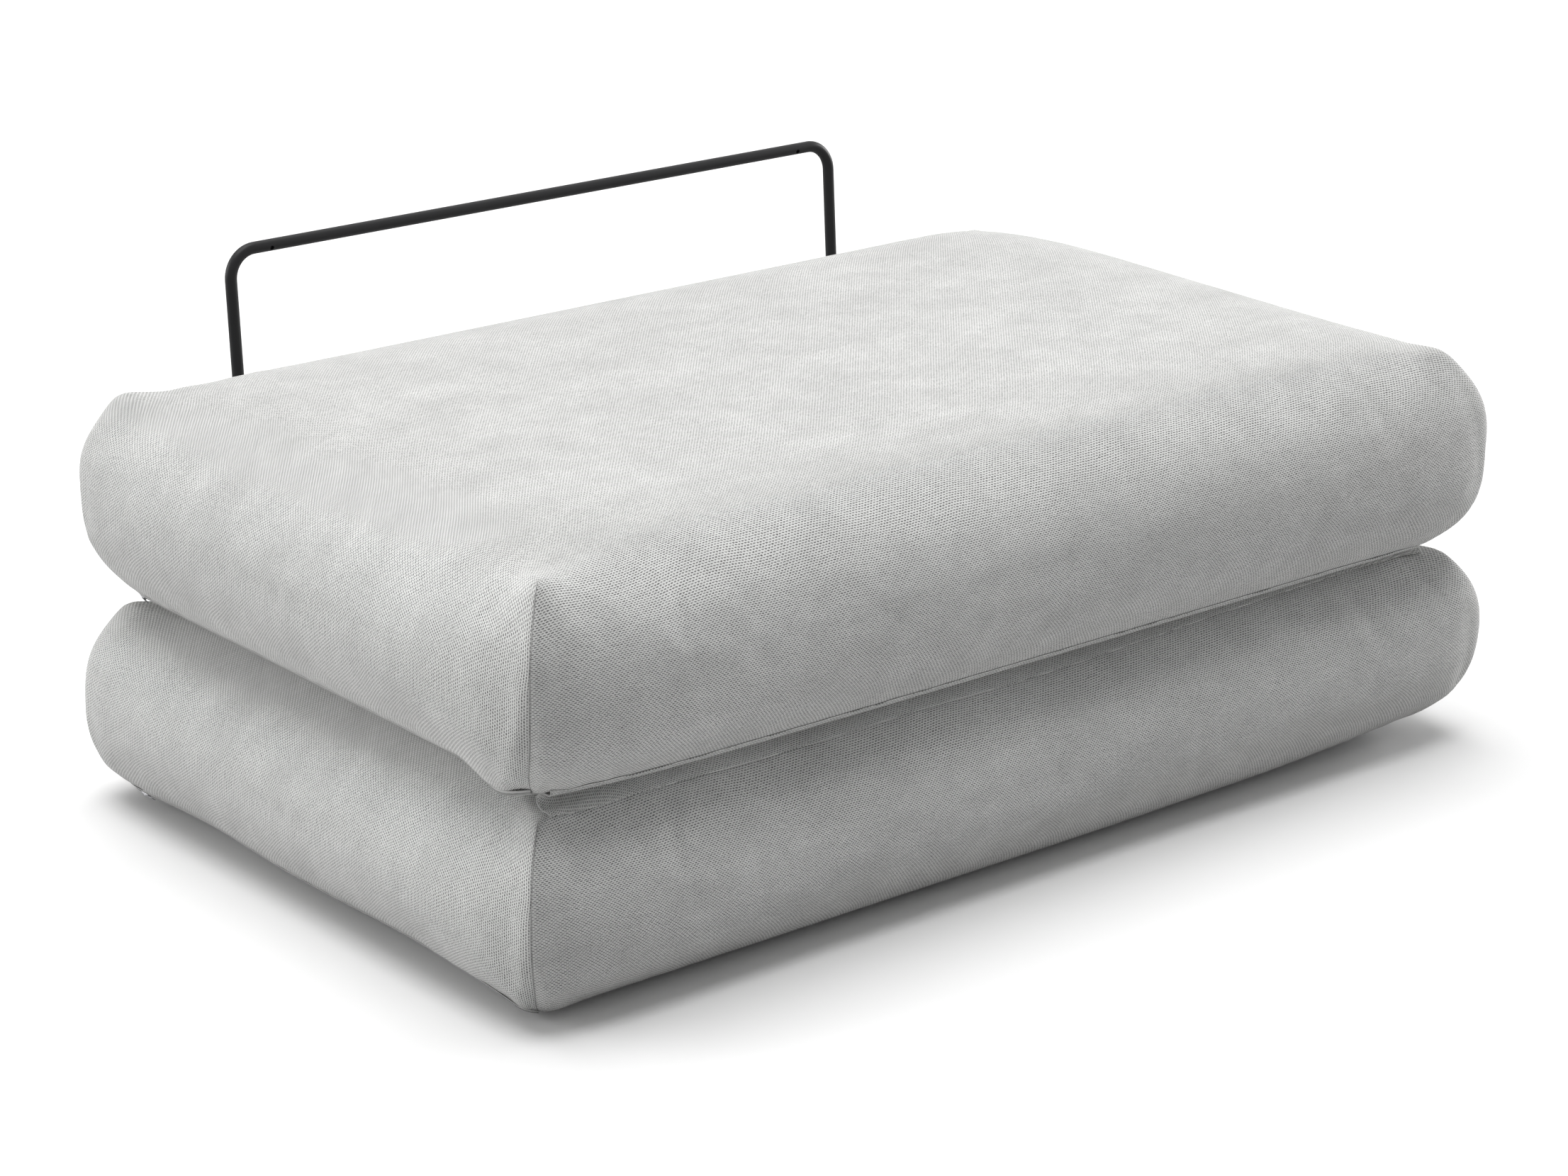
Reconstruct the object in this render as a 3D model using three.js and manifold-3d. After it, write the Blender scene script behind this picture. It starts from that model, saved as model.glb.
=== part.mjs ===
// Sofa bed: two thick foam mattresses, one on top of the other, that open side by side into a bed.
// A flap of the cover fabric joins their long front edges, and the upper mattress turns over on it.
// Behind the stack stands a hoop of round steel tube, plugged into two flat runners under the mattress.
//
// Millimetres, +Z up. +X runs along the long side, -Y is the front, where the flap is.
// While it is built, X = Y = 0 is the middle of the mattresses and Z = 0 the floor. At the end the whole
// is moved so that its origin is the middle of the bottom of its box.

import * as THREE from 'three';
import { mergeVertices } from 'three/addons/utils/BufferGeometryUtils.js';
import Module from 'manifold-3d';

const wasm = await Module();
wasm.setup();

// Driving sizes

// mattresses, measured from corner seam to corner seam
const mattressLength = 1500;
const mattressDepth = 876;
const lowerWallHeight = 249;
const upperWallHeight = 253;
const lowerCrown = 18.6;
const upperCrown = 28;
const sideBulge = 65;         // how far the middle of a side stands out past the corner seams
const cornerBow = 43;         // how far the corner seam itself bows out half way up
const lowerEdgeDraw = 31;     // how far the top edge is pulled in between the corners
const upperEdgeDraw = 31;
const upperEdgeRise = 11.6;   // how much higher than its ears the upper mattress's top edge runs
const easeLength = 190;       // run from a corner seam to where crown and bulge are full
const easeCurveShare = 2.5;
const bowCurveShare = 2.75;

// layers of a mattress, from outside in
const coverThickness = 3;
const waddingThickness = 12;
const panelThickness = 3;
const seamLip = 4;            // the seam allowance that stands out round the bottom edge
const panelCorner = 9;
const seatGap = 0.4;          // between the lower crown and the upper mattress
const touch = 0.3;            // between pieces that rest on each other

// fabric hinge
const flapThickness = 1.2;
const flapGap = 0.4;
const flapEndInset = 30;      // the flap starts this far in from the corner seams
const hemSlack = 4.2;         // how much the hems stand off where the walls twist towards a corner
const hemWidth = 12;
const pleatDepth = 92;        // the fold lies this far in from the front edge
const hingeClearance = 3;     // between the fullest line of a side and the hinge line
const openFloorClearance = 4; // under the upper mattress when it lies open in front

// zips along the left end
const tapeThickness = 0.8;
const tapeWidth = 15;
const coilHeight = 4.8;
const coilWidth = 6;
const coilOffset = 5.6;       // height of the coil's middle above the bottom edge
const sliderLength = 16;
const sliderWall = 1.6;
const sliderPark = 45;        // from the back corner to the parked slider
const sliderTravel = 760;

// hoop
const tubeDiameter = 16;
const tubeWall = 1.5;
const hoopSpan = 1024;        // between the uprights' centre lines
const hoopTop = 665;          // height of the top bar's centre line
const hoopBend = 38;          // bend radius on the centre line
const hoopLean = 4.5;         // degrees back from upright
const hoopClearance = 3;      // between the tube and the fullest line of the lower mattress
const fixingHole = 6;
const fixingHoleInset = 62;   // from an upright's centre line
const fixingHoleDrop = 2.2;   // below the top bar's centre line

// runners under the mattress
const barWidth = 40;
const barThickness = 5;
const barFrontInset = 100;    // from the mattress's front edge to the bar's front end
const barRearReach = 34;      // past the hoop's foot
const socketDiameter = 22;
const socketBoreGap = 0.3;
const socketHeight = 62;
const gussetLength = 46;
const gussetHeight = 36;
const gussetThickness = 4;
const screwHeight = 36;
const screwDiameter = 6;
const screwHeadDiameter = 11;
const screwHeadHeight = 5;
const hexKey = 5;
const glideDiameter = 26;
const glideHeight = 2;
const glideEndInset = 26;      // from a glide's middle to the bar's end, or to the cap on it
const gripWidth = 30;
const gripThickness = 1.5;
const gripEndInset = 16;      // between the cap and the pad
const capWall = 1.2;
const capLength = 22;
const overrun = 10;           // how far cutting bodies run past what they cut

// Numbers of facets

const alongX = 14;
const alongY = 8;
const upWall = 6;
const coarseX = 10;
const coarseY = 6;
const coarseWall = 4;
const tubeSides = 16;
const bendSteps = 6;

// Colours

const cloth = { color: '#bdbdb9', roughness: 0.95, metalness: 0 };
const panelCloth = { color: '#8d8d89', roughness: 0.95, metalness: 0 };
const fibre = { color: '#ecebe6', roughness: 1, metalness: 0 };
const foam = { color: '#e6dcb4', roughness: 1, metalness: 0 };
const blackSteel = { color: '#1b1b1c', roughness: 0.42, metalness: 0.3 };
const blackPlastic = { color: '#202021', roughness: 0.6, metalness: 0 };
const greyPlastic = { color: '#a5a5a1', roughness: 0.5, metalness: 0 };
const plated = { color: '#8f9092', roughness: 0.35, metalness: 0.9 };

const model = new THREE.Group();
const add = (name, geometry, look) => {
  const mesh = new THREE.Mesh(geometry, new THREE.MeshStandardMaterial(look));
  mesh.name = name;
  model.add(mesh);
  return mesh;
};

// Solids for cutting and joining

const solidOf = (geometry) => {
  const bare = geometry.clone();
  bare.deleteAttribute('normal');
  bare.deleteAttribute('uv');
  const merged = mergeVertices(bare);
  return new wasm.Manifold(new wasm.Mesh({
    numProp: 3,
    vertProperties: new Float32Array(merged.attributes.position.array),
    triVerts: new Uint32Array(merged.index.array),
  }));
};
const geometryOf = (solid) => {
  const mesh = solid.getMesh();
  const geometry = new THREE.BufferGeometry();
  geometry.setAttribute('position', new THREE.BufferAttribute(new Float32Array(mesh.vertProperties), 3));
  geometry.setIndex(new THREE.BufferAttribute(new Uint32Array(mesh.triVerts), 1));
  geometry.computeVertexNormals();
  return geometry;
};
const cut = (geometry, ...tools) =>
  geometryOf(tools.reduce((rest, tool) => rest.subtract(solidOf(tool)), solidOf(geometry)));
const join = (geometry, ...others) =>
  geometryOf(others.reduce((whole, other) => whole.add(solidOf(other)), solidOf(geometry)));

// Form of a mattress

const halfLength = mattressLength / 2;
const halfDepth = mattressDepth / 2;

// 0 at a corner seam, 1 from easeLength on
const ease = (distance) => 1 - (1 - Math.min(Math.max(distance / easeLength, 0), 1)) ** easeCurveShare;
// 0 at the wall's two edges, 1 half way up
const bow = (share) => 1 - Math.abs(2 * share - 1) ** bowCurveShare;

// The outside of a wall, as how far it stands out from the straight line between the corner seams,
// and its height above the bottom edge. along is the distance from the nearer corner seam.
const wallOut = (form, along, share) =>
  -form.edgeDraw * ease(along) * share ** 3
  + (cornerBow + (sideBulge - cornerBow) * ease(along)) * bow(share);
const wallUp = (form, along, share) => share * (form.wallHeight + form.edgeRise * ease(along));

// The top's height above the bottom edge
const topUp = (form, alongFromEnd, alongFromSide) => {
  const a = ease(alongFromEnd);
  const b = ease(alongFromSide);
  return form.wallHeight + form.crown * a * b + form.edgeRise * (a * (1 - b) + b * (1 - a));
};

// A point of the unit box, u and v from -1 to 1 and share from 0 at the bottom to 1 at the top, to its
// place on the mattress. inset brings it in by so much, for the layers below the cover.
const mattressPoint = (form, u, v, share, inset) => {
  const endGap = (1 - Math.abs(u)) * halfLength;
  const sideGap = (1 - Math.abs(v)) * halfDepth;
  const x = halfLength - inset;
  const y = halfDepth - inset;
  if (share === 1) {
    return [
      u * (x - form.edgeDraw * ease(sideGap) * Math.abs(u) ** 6),
      v * (y - form.edgeDraw * ease(endGap) * Math.abs(v) ** 6),
      topUp(form, endGap, sideGap) - inset,
    ];
  }
  const up = 1 - inset / form.wallHeight;
  const cornerOut = cornerBow * bow(share);
  const xOut = Math.abs(u) === 1 ? wallOut(form, sideGap, share) : cornerOut * u * u;
  const yOut = Math.abs(v) === 1 ? wallOut(form, endGap, share) : cornerOut * v * v;
  const along = Math.abs(v) === 1 ? endGap : sideGap;
  return [u * (x + xOut), v * (y + yOut), wallUp(form, along, share) * up];
};

// Grid steps are closer near the seams, where the form turns fastest.
const spread = (t) => t * (1.5 - 0.5 * t * t);

const mattressGeometry = (form, inset, below, segments) => {
  const geometry = new THREE.BoxGeometry(2, 2, 2, ...segments);
  const position = geometry.attributes.position;
  for (let i = 0; i < position.count; i += 1) {
    const u = spread(position.getX(i));
    const v = spread(position.getY(i));
    const share = (1 + spread(position.getZ(i))) / 2;
    if (share === 0) {
      position.setXYZ(i, u * (halfLength - inset), v * (halfDepth - inset), -below);
    } else {
      position.setXYZ(i, ...mattressPoint(form, u, v, share, inset));
    }
  }
  return geometry;
};

// A layer closed on five sides and open at the bottom
const shellGeometry = (form, outerInset, thickness, outerSegments, innerSegments) => cut(
  mattressGeometry(form, outerInset, 0, outerSegments),
  mattressGeometry(form, outerInset + thickness, touch, innerSegments),
);

// how far the fullest line of a side stands out
const fullestOut = (form) => {
  const steps = Array.from({ length: upWall * upWall }, (_, i) => i / (upWall * upWall));
  return Math.max(...steps.map((share) => wallOut(form, easeLength, share)));
};

const fine = [alongX, alongY, upWall];
const coarse = [coarseX, coarseY, coarseWall];

const panelShape = () => {
  const x = halfLength + seamLip;
  const y = halfDepth + seamLip;
  const r = panelCorner;
  const shape = new THREE.Shape();
  shape.moveTo(-x + r, -y);
  shape.lineTo(x - r, -y);
  shape.absarc(x - r, -y + r, r, -Math.PI / 2, 0);
  shape.absarc(x - r, y - r, r, 0, Math.PI / 2);
  shape.absarc(-x + r, y - r, r, Math.PI / 2, Math.PI);
  shape.absarc(-x + r, -y + r, r, Math.PI, Math.PI * 1.5);
  return shape;
};

// Heights of the stack

const barBottom = glideHeight + touch;
const barTop = barBottom + barThickness;
const gripBottom = barTop + touch;
const lowerPanelBottom = gripBottom + gripThickness + touch;
const lowerCoverBottom = lowerPanelBottom + panelThickness + touch;
const upperPanelBottom = lowerCoverBottom + lowerWallHeight + lowerCrown + seatGap;
const upperCoverBottom = upperPanelBottom + panelThickness + touch;
const upperTop = upperCoverBottom + upperWallHeight + upperCrown;

const lower = {
  name: 'lower', wallHeight: lowerWallHeight, crown: lowerCrown,
  edgeDraw: lowerEdgeDraw, edgeRise: 0, panelZ: lowerPanelBottom, coverZ: lowerCoverBottom,
};
const upper = {
  name: 'upper', wallHeight: upperWallHeight, crown: upperCrown,
  edgeDraw: upperEdgeDraw, edgeRise: upperEdgeRise, panelZ: upperPanelBottom, coverZ: upperCoverBottom,
};

// Zip along the left end of a mattress: two tapes and a coil in one strip, and the slider on the coil

// a place on the end wall, moved out along the wall's normal
const endWallPoint = (form, along, up, out) => {
  const share = up / form.wallHeight;
  const step = tapeThickness / form.wallHeight;
  const dx = wallOut(form, along, share + step) - wallOut(form, along, share);
  const dz = wallUp(form, along, share + step) - wallUp(form, along, share);
  const length = Math.hypot(dx, dz);
  return [
    -halfLength - wallOut(form, along, share) - (dz / length) * out,
    wallUp(form, along, share) - (dx / length) * out,
  ];
};

// The strip's inside and outside, from its lower to its upper edge, at v from -1 to 1 along the wall. The
// coil part is the same at every station, so that the slider runs straight, and the upper tape follows
// the wall, which widens with height towards the corner seams.
const zipSection = (form, v) => {
  const along = (1 - Math.abs(v)) * halfDepth;
  // the coil's stations run along the slanted wall, so they rise by less than they run
  const [x0, z0] = endWallPoint(form, easeLength, coilOffset, 0);
  const [x1] = endWallPoint(form, easeLength, coilOffset, 1);
  const rise = x0 - x1;
  const side = coilWidth / 2;
  const bump = coilWidth / 4;
  const stations = [
    [-side, tapeThickness], [-side + tapeThickness, coilHeight - bump], [-bump, coilHeight],
    [bump, coilHeight], [side - tapeThickness, coilHeight - bump], [side, tapeThickness],
  ].map(([run, thick]) => [z0 + run * rise, thick]);
  const high = z0 + side * rise;
  const at = (run, up, out, y) => {
    const [x, z] = endWallPoint(form, run, up, out);
    return [x, y, z];
  };
  const inside = stations.map(([up]) => at(easeLength, up, touch, v * halfDepth));
  const outside = stations.map(([up, thick]) => at(easeLength, up, touch + thick, v * halfDepth));
  for (const up of [(high + tapeWidth) / 2, tapeWidth]) {
    const y = v * (halfDepth + cornerBow * bow(up / form.wallHeight) * v * v);
    inside.push(at(along, up, touch, y));
    outside.push(at(along, up, touch + tapeThickness, y));
  }
  return [...inside, ...outside.reverse()];
};

// A solid through closed outlines with the same number of points
const loftGeometry = (sections) => {
  const count = sections[0].length;
  const points = sections.flat(2);
  const index = [];
  for (let s = 0; s + 1 < sections.length; s += 1) {
    for (let i = 0; i < count; i += 1) {
      const a = s * count + i;
      const b = s * count + ((i + 1) % count);
      index.push(a, b, b + count, a, b + count, a + count);
    }
  }
  // the two ends, closed between the outline's first half and its second half
  const last = (sections.length - 1) * count;
  for (let i = 0; i + 1 < count / 2; i += 1) {
    const j = count - 1 - i;
    index.push(i, j, i + 1, i + 1, j, j - 1);
    index.push(last + i, last + i + 1, last + j, last + i + 1, last + j - 1, last + j);
  }
  const geometry = new THREE.BufferGeometry();
  geometry.setAttribute('position', new THREE.Float32BufferAttribute(points, 3));
  geometry.setIndex(index);
  return geometry;
};
// turned inside out where the outline runs the other way round
const outward = (geometry) => {
  if (solidOf(geometry).volume() > 0) return geometry;
  const index = geometry.index.array;
  for (let i = 0; i < index.length; i += 3) [index[i], index[i + 1]] = [index[i + 1], index[i]];
  return geometry;
};

const zipGeometry = (form) => {
  const runs = 14;
  const sections = [];
  for (let i = 0; i <= runs; i += 1) {
    sections.push(zipSection(form, spread(2 * i / runs - 1)));
  }
  return outward(loftGeometry(sections));
};

// The slider is a channel that hugs the coil from outside. Its section is drawn along the wall (s) and
// out from it (n), and pushed along Y.
const sliderGeometry = (form) => {
  const half = coilWidth / 2 + touch;
  const top = touch + coilHeight + touch;
  const foot = 2 * (touch + tapeThickness);
  const outline = [
    [-half - sliderWall, foot], [-half, foot], [-half, top], [half, top], [half, foot],
    [half + sliderWall, foot], [half + sliderWall, top + sliderWall / 2], [half, top + sliderWall],
    [-half, top + sliderWall], [-half - sliderWall, top + sliderWall / 2],
  ];
  const [x0, z0] = endWallPoint(form, easeLength, coilOffset, 0);
  const [x1, z1] = endWallPoint(form, easeLength, coilOffset, 1);
  const out = [x1 - x0, z1 - z0];
  const up = [-out[1], out[0]];
  if (up[1] < 0) up.forEach((value, i) => { up[i] = -value; });
  const shape = new THREE.Shape(outline.map(([s, n]) => new THREE.Vector2(
    x0 + up[0] * s + out[0] * n,
    z0 + up[1] * s + out[1] * n,
  )));
  const geometry = new THREE.ExtrudeGeometry(shape, { depth: sliderLength, bevelEnabled: false });
  return geometry.rotateX(Math.PI / 2).translate(0, sliderLength / 2, 0);
};

// Layers of the two mattresses

for (const form of [lower, upper]) {
  add(`${form.name}_cover`, shellGeometry(form, 0, coverThickness, fine, fine), cloth)
    .position.z = form.coverZ;
  add(`${form.name}_base_panel`,
    new THREE.ExtrudeGeometry(panelShape(), { depth: panelThickness, bevelEnabled: false, curveSegments: 3 }),
    panelCloth).position.z = form.panelZ;
  const waddingInset = coverThickness + touch;
  add(`${form.name}_wadding`, shellGeometry(form, waddingInset, waddingThickness, fine, coarse), fibre)
    .position.z = form.coverZ;
  add(`${form.name}_foam_core`,
    mattressGeometry(form, waddingInset + waddingThickness + touch, 0, coarse), foam)
    .position.z = form.coverZ;
  add(`${form.name}_zip`, zipGeometry(form), greyPlastic).position.z = form.coverZ;
  const slider = add(`${form.name}_zip_slider`, sliderGeometry(form), plated);
  slider.position.set(0, halfDepth - sliderPark, form.coverZ);
}

// Fabric hinge: a ribbon hemmed to the front of each mattress, with a pleat between them that is long
// enough to reach across when the upper mattress lies open in front

const frontHem = (form, u, up) => {
  const share = up / form.wallHeight;
  const along = (1 - Math.abs(u)) * halfLength;
  const step = flapThickness / form.wallHeight;
  const dy = wallOut(form, along, share + step) - wallOut(form, along, share - step);
  const dz = wallUp(form, along, share + step) - wallUp(form, along, share - step);
  const length = Math.hypot(dy, dz);
  const out = flapGap + hemSlack * (1 - ease(along)) + flapThickness / 2;
  return [
    u * (halfLength + cornerBow * bow(share) * u * u),
    -halfDepth - wallOut(form, along, share) - (dz / length) * out,
    form.coverZ + wallUp(form, along, share) - (dy / length) * out,
  ];
};

// the ribbon's middle line in the plane across the mattress, from the upper hem to the lower one
const flapLine = (u) => {
  const x = u * halfLength;
  const along = halfLength - Math.abs(x);
  const half = flapGap + flapThickness / 2;
  const front = -halfDepth - seamLip - half;
  const under = upperPanelBottom - half;
  const fold = -halfDepth + pleatDepth;
  const overLower = (y) => lowerCoverBottom
    + topUp(lower, along, halfDepth + y) + half;
  const edge = -halfDepth + lowerEdgeDraw * ease(along);
  const line = [
    frontHem(upper, u, hemWidth), frontHem(upper, u, hemWidth * 0.6),
    [x, front, upperCoverBottom], [x, front + half / 2, under + half / 2], [x, front + 2 * half, under],
  ];
  const run = fold - front;
  for (const share of [0.35, 0.7, 0.97]) line.push([x, front + run * share, under]);
  const low = overLower(fold);
  line.push([x, fold, under - (under - low) * 0.15]);
  line.push([x, fold, low + (under - low) * 0.15]);
  const back = edge - fold;
  for (const share of [0.04, 0.35, 0.7, 0.93]) {
    const y = fold + back * share;
    line.push([x, y, overLower(y)]);
  }
  const topOfWall = lower.wallHeight;
  line.push(frontHem(lower, u, topOfWall - hemWidth * 0.2));
  line.push(frontHem(lower, u, topOfWall - hemWidth * 0.6));
  line.push(frontHem(lower, u, topOfWall - hemWidth));
  return line;
};

// both faces of the ribbon round its middle line
const ribbonSection = (line, thickness) => {
  const faces = [[], []];
  line.forEach(([x, y, z], i) => {
    const [, y0, z0] = line[Math.max(i - 1, 0)];
    const [, y1, z1] = line[Math.min(i + 1, line.length - 1)];
    const a = [y - y0, z - z0];
    const b = [y1 - y, z1 - z];
    const la = Math.hypot(...a) || 1;
    const lb = Math.hypot(...b) || 1;
    const d = [a[0] / la + b[0] / lb, a[1] / la + b[1] / lb];
    const length = Math.hypot(...d);
    faces[0].push([x, y - (d[1] / length) * thickness / 2, z + (d[0] / length) * thickness / 2]);
    faces[1].push([x, y + (d[1] / length) * thickness / 2, z - (d[0] / length) * thickness / 2]);
  });
  return [...faces[0], ...faces[1].reverse()];
};

// The ribbon has its stations where the covers have theirs, so that it lies along them, and each end
// lies on the straight between two of them.
const stationU = [];
for (let i = 0; i <= alongX; i += 1) stationU.push(spread(2 * i / alongX - 1));
const flapEndU = 1 - flapEndInset / halfLength;
const inner = stationU.filter((u) => Math.abs(u) < flapEndU);
const endSection = (side) => {
  const near = ribbonSection(flapLine(side * Math.max(...inner)), flapThickness);
  const outerU = Math.min(...stationU.filter((u) => u > flapEndU));
  const far = ribbonSection(flapLine(side * outerU), flapThickness);
  const share = (flapEndU - Math.max(...inner)) / (outerU - Math.max(...inner));
  return near.map((point, i) => point.map((value, axis) => value + (far[i][axis] - value) * share));
};
const flapSections = [
  endSection(-1), ...inner.map((u) => ribbonSection(flapLine(u), flapThickness)), endSection(1),
];
add('hinge_flap', outward(loftGeometry(flapSections)), cloth);

// Hoop of bent tube. It is drawn upright over its foot, and then leans back about its foot.

const tubeRadius = tubeDiameter / 2;
const lean = THREE.MathUtils.degToRad(hoopLean);
const footZ = barTop + touch + tubeRadius * Math.sin(lean);
const bulgeZ = lowerCoverBottom + lowerWallHeight / 2;
const footY = halfDepth + fullestOut(lower) + hoopClearance + tubeRadius - Math.tan(lean) * (bulgeZ - footZ);
const hoopHeight = (hoopTop - footZ) / Math.cos(lean);

// A curve through the tube's stations, with as many stations in a bend as it needs and none in a run
class BentTube extends THREE.Curve {
  constructor(stations) {
    super();
    this.stations = stations;
  }

  getPoint(t) {
    const place = t * (this.stations.length - 1);
    const i = Math.min(Math.floor(place), this.stations.length - 2);
    return this.stations[i].clone().lerp(this.stations[i + 1], place - i);
  }

  getPointAt(t) {
    return this.getPoint(t);
  }

  getTangent(t) {
    const i = Math.round(t * (this.stations.length - 1));
    const here = this.stations[i];
    const before = this.stations[Math.max(i - 1, 0)];
    const after = this.stations[Math.min(i + 1, this.stations.length - 1)];
    return here.clone().sub(before).normalize().add(after.clone().sub(here).normalize()).normalize();
  }

  getTangentAt(t) {
    return this.getTangent(t);
  }
}

const circle = (Shape, radius, turn = 0) => {
  const points = [];
  for (let i = 0; i < tubeSides; i += 1) {
    const angle = turn + 2 * Math.PI * i / tubeSides;
    points.push(new THREE.Vector2(radius * Math.cos(angle), radius * Math.sin(angle)));
  }
  return new Shape(points);
};

const half = hoopSpan / 2;
const stations = [new THREE.Vector3(-half, 0, 0)];
for (let i = 0; i <= bendSteps; i += 1) {
  const angle = Math.PI - (Math.PI / 2) * i / bendSteps;
  stations.push(new THREE.Vector3(
    -half + hoopBend + hoopBend * Math.cos(angle), 0, hoopHeight - hoopBend + hoopBend * Math.sin(angle),
  ));
}
for (let i = 0; i <= bendSteps; i += 1) {
  const angle = Math.PI / 2 - (Math.PI / 2) * i / bendSteps;
  stations.push(new THREE.Vector3(
    half - hoopBend + hoopBend * Math.cos(angle), 0, hoopHeight - hoopBend + hoopBend * Math.sin(angle),
  ));
}
stations.push(new THREE.Vector3(half, 0, 0));

const tubeSection = circle(THREE.Shape, tubeRadius);
tubeSection.holes.push(circle(THREE.Path, tubeRadius - tubeWall));
const hoopTube = new THREE.ExtrudeGeometry(tubeSection, {
  steps: stations.length - 1, extrudePath: new BentTube(stations), bevelEnabled: false,
});

// a round cutter along Y, from the tube's middle out through its front (-1) or its back (1)
const sideDrill = (diameter, reach, x, z, side) =>
  new THREE.CylinderGeometry(diameter / 2, diameter / 2, reach, tubeSides)
    .translate(x, side * reach / 2, z);

const hoopSides = [['left', -1], ['right', 1]];
const hoopGeometry = cut(
  hoopTube,
  ...hoopSides.map(([, side]) => sideDrill(
    fixingHole, tubeRadius + overrun, side * (half - fixingHoleInset), hoopHeight - fixingHoleDrop, -1,
  )),
  ...hoopSides.map(([, side]) => sideDrill(
    screwDiameter + 2 * touch, tubeRadius + overrun, side * half, screwHeight, 1,
  )),
);
const hoop = add('back_hoop', hoopGeometry, blackSteel);
hoop.position.set(0, footY, footZ);
hoop.rotation.x = -lean;

// Runners: a flat bar under the mattress with a leaning socket and a gusset welded on

const roundedBar = (length, width, radius) => {
  const x = width / 2;
  const shape = new THREE.Shape();
  shape.moveTo(-x, radius);
  shape.absarc(-x + radius, radius, radius, Math.PI, Math.PI * 1.5);
  shape.absarc(x - radius, radius, radius, Math.PI * 1.5, Math.PI * 2);
  shape.absarc(x - radius, length - radius, radius, 0, Math.PI / 2);
  shape.absarc(-x + radius, length - radius, radius, Math.PI / 2, Math.PI);
  return shape;
};

const barFront = -halfDepth + barFrontInset;
const barRear = footY + barRearReach;
const barLength = barRear - barFront;
// the pad lies evenly under the mattress, from the cap back
const gripFront = barFront + capLength + gripEndInset;
const gripLength = -2 * gripFront;
const barCorner = barWidth / 5;
const socketRadius = socketDiameter / 2;

const runnerGeometry = () => {
  const bar = new THREE.ExtrudeGeometry(roundedBar(barLength, barWidth, barCorner), {
    depth: barThickness, bevelEnabled: false, curveSegments: 3,
  }).translate(0, barFront, 0);
  const seat = barThickness / 2;
  const socket = new THREE.CylinderGeometry(socketRadius, socketRadius, socketHeight + seat, tubeSides)
    .rotateX(Math.PI / 2)
    .translate(0, 0, (socketHeight - seat) / 2)
    .rotateX(-lean)
    .translate(0, footY, footZ - barBottom);
  const bore = new THREE.CylinderGeometry(
    tubeRadius + socketBoreGap, tubeRadius + socketBoreGap, socketHeight + overrun, tubeSides,
  )
    .rotateX(Math.PI / 2)
    .translate(0, 0, (socketHeight + overrun) / 2 - touch)
    .rotateX(-lean)
    .translate(0, footY, footZ - barBottom);
  const tap = sideDrill(screwDiameter + 2 * touch, socketRadius + overrun, 0, screwHeight, 1)
    .rotateX(-lean)
    .translate(0, footY, footZ - barBottom);
  // the gusset runs forward from the socket, under the mattress's overhang
  const root = tubeRadius + socketBoreGap + gussetThickness / 4;
  const gussetShape = new THREE.Shape([
    new THREE.Vector2(-root, -seat), new THREE.Vector2(-root, gussetHeight),
    new THREE.Vector2(-socketRadius, gussetHeight),
    new THREE.Vector2(-socketRadius - gussetLength, touch),
    new THREE.Vector2(-socketRadius - gussetLength, -seat),
  ]);
  const gusset = new THREE.ExtrudeGeometry(gussetShape, { depth: gussetThickness, bevelEnabled: false })
    .rotateY(Math.PI / 2)
    .rotateX(Math.PI / 2)
    .translate(-gussetThickness / 2, footY, barThickness);
  return cut(join(bar, socket, gusset), bore, tap);
};

const screwGeometry = () => {
  const shank = screwDiameter / 2;
  const head = screwHeadDiameter / 2;
  const seat = socketRadius + touch;
  const tip = tubeRadius - tubeWall - tubeWall;
  const bevel = screwHeadHeight / 6;
  const body = new THREE.LatheGeometry([
    [0, tip], [shank - bevel, tip], [shank, tip + bevel], [shank, seat], [head, seat],
    [head, seat + screwHeadHeight - bevel], [head - bevel, seat + screwHeadHeight], [0, seat + screwHeadHeight],
  ].map(([r, y]) => new THREE.Vector2(r, y)), tubeSides);
  const key = new THREE.CylinderGeometry(hexKey / Math.sqrt(3), hexKey / Math.sqrt(3), screwHeadHeight, 6)
    .translate(0, seat + screwHeadHeight, 0);
  return cut(body, key);
};

const glidePlaces = [
  ['front', barFront + capLength + glideEndInset],
  ['middle', (barFront + barRear) / 2],
  ['rear', barRear - glideEndInset],
];

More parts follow.
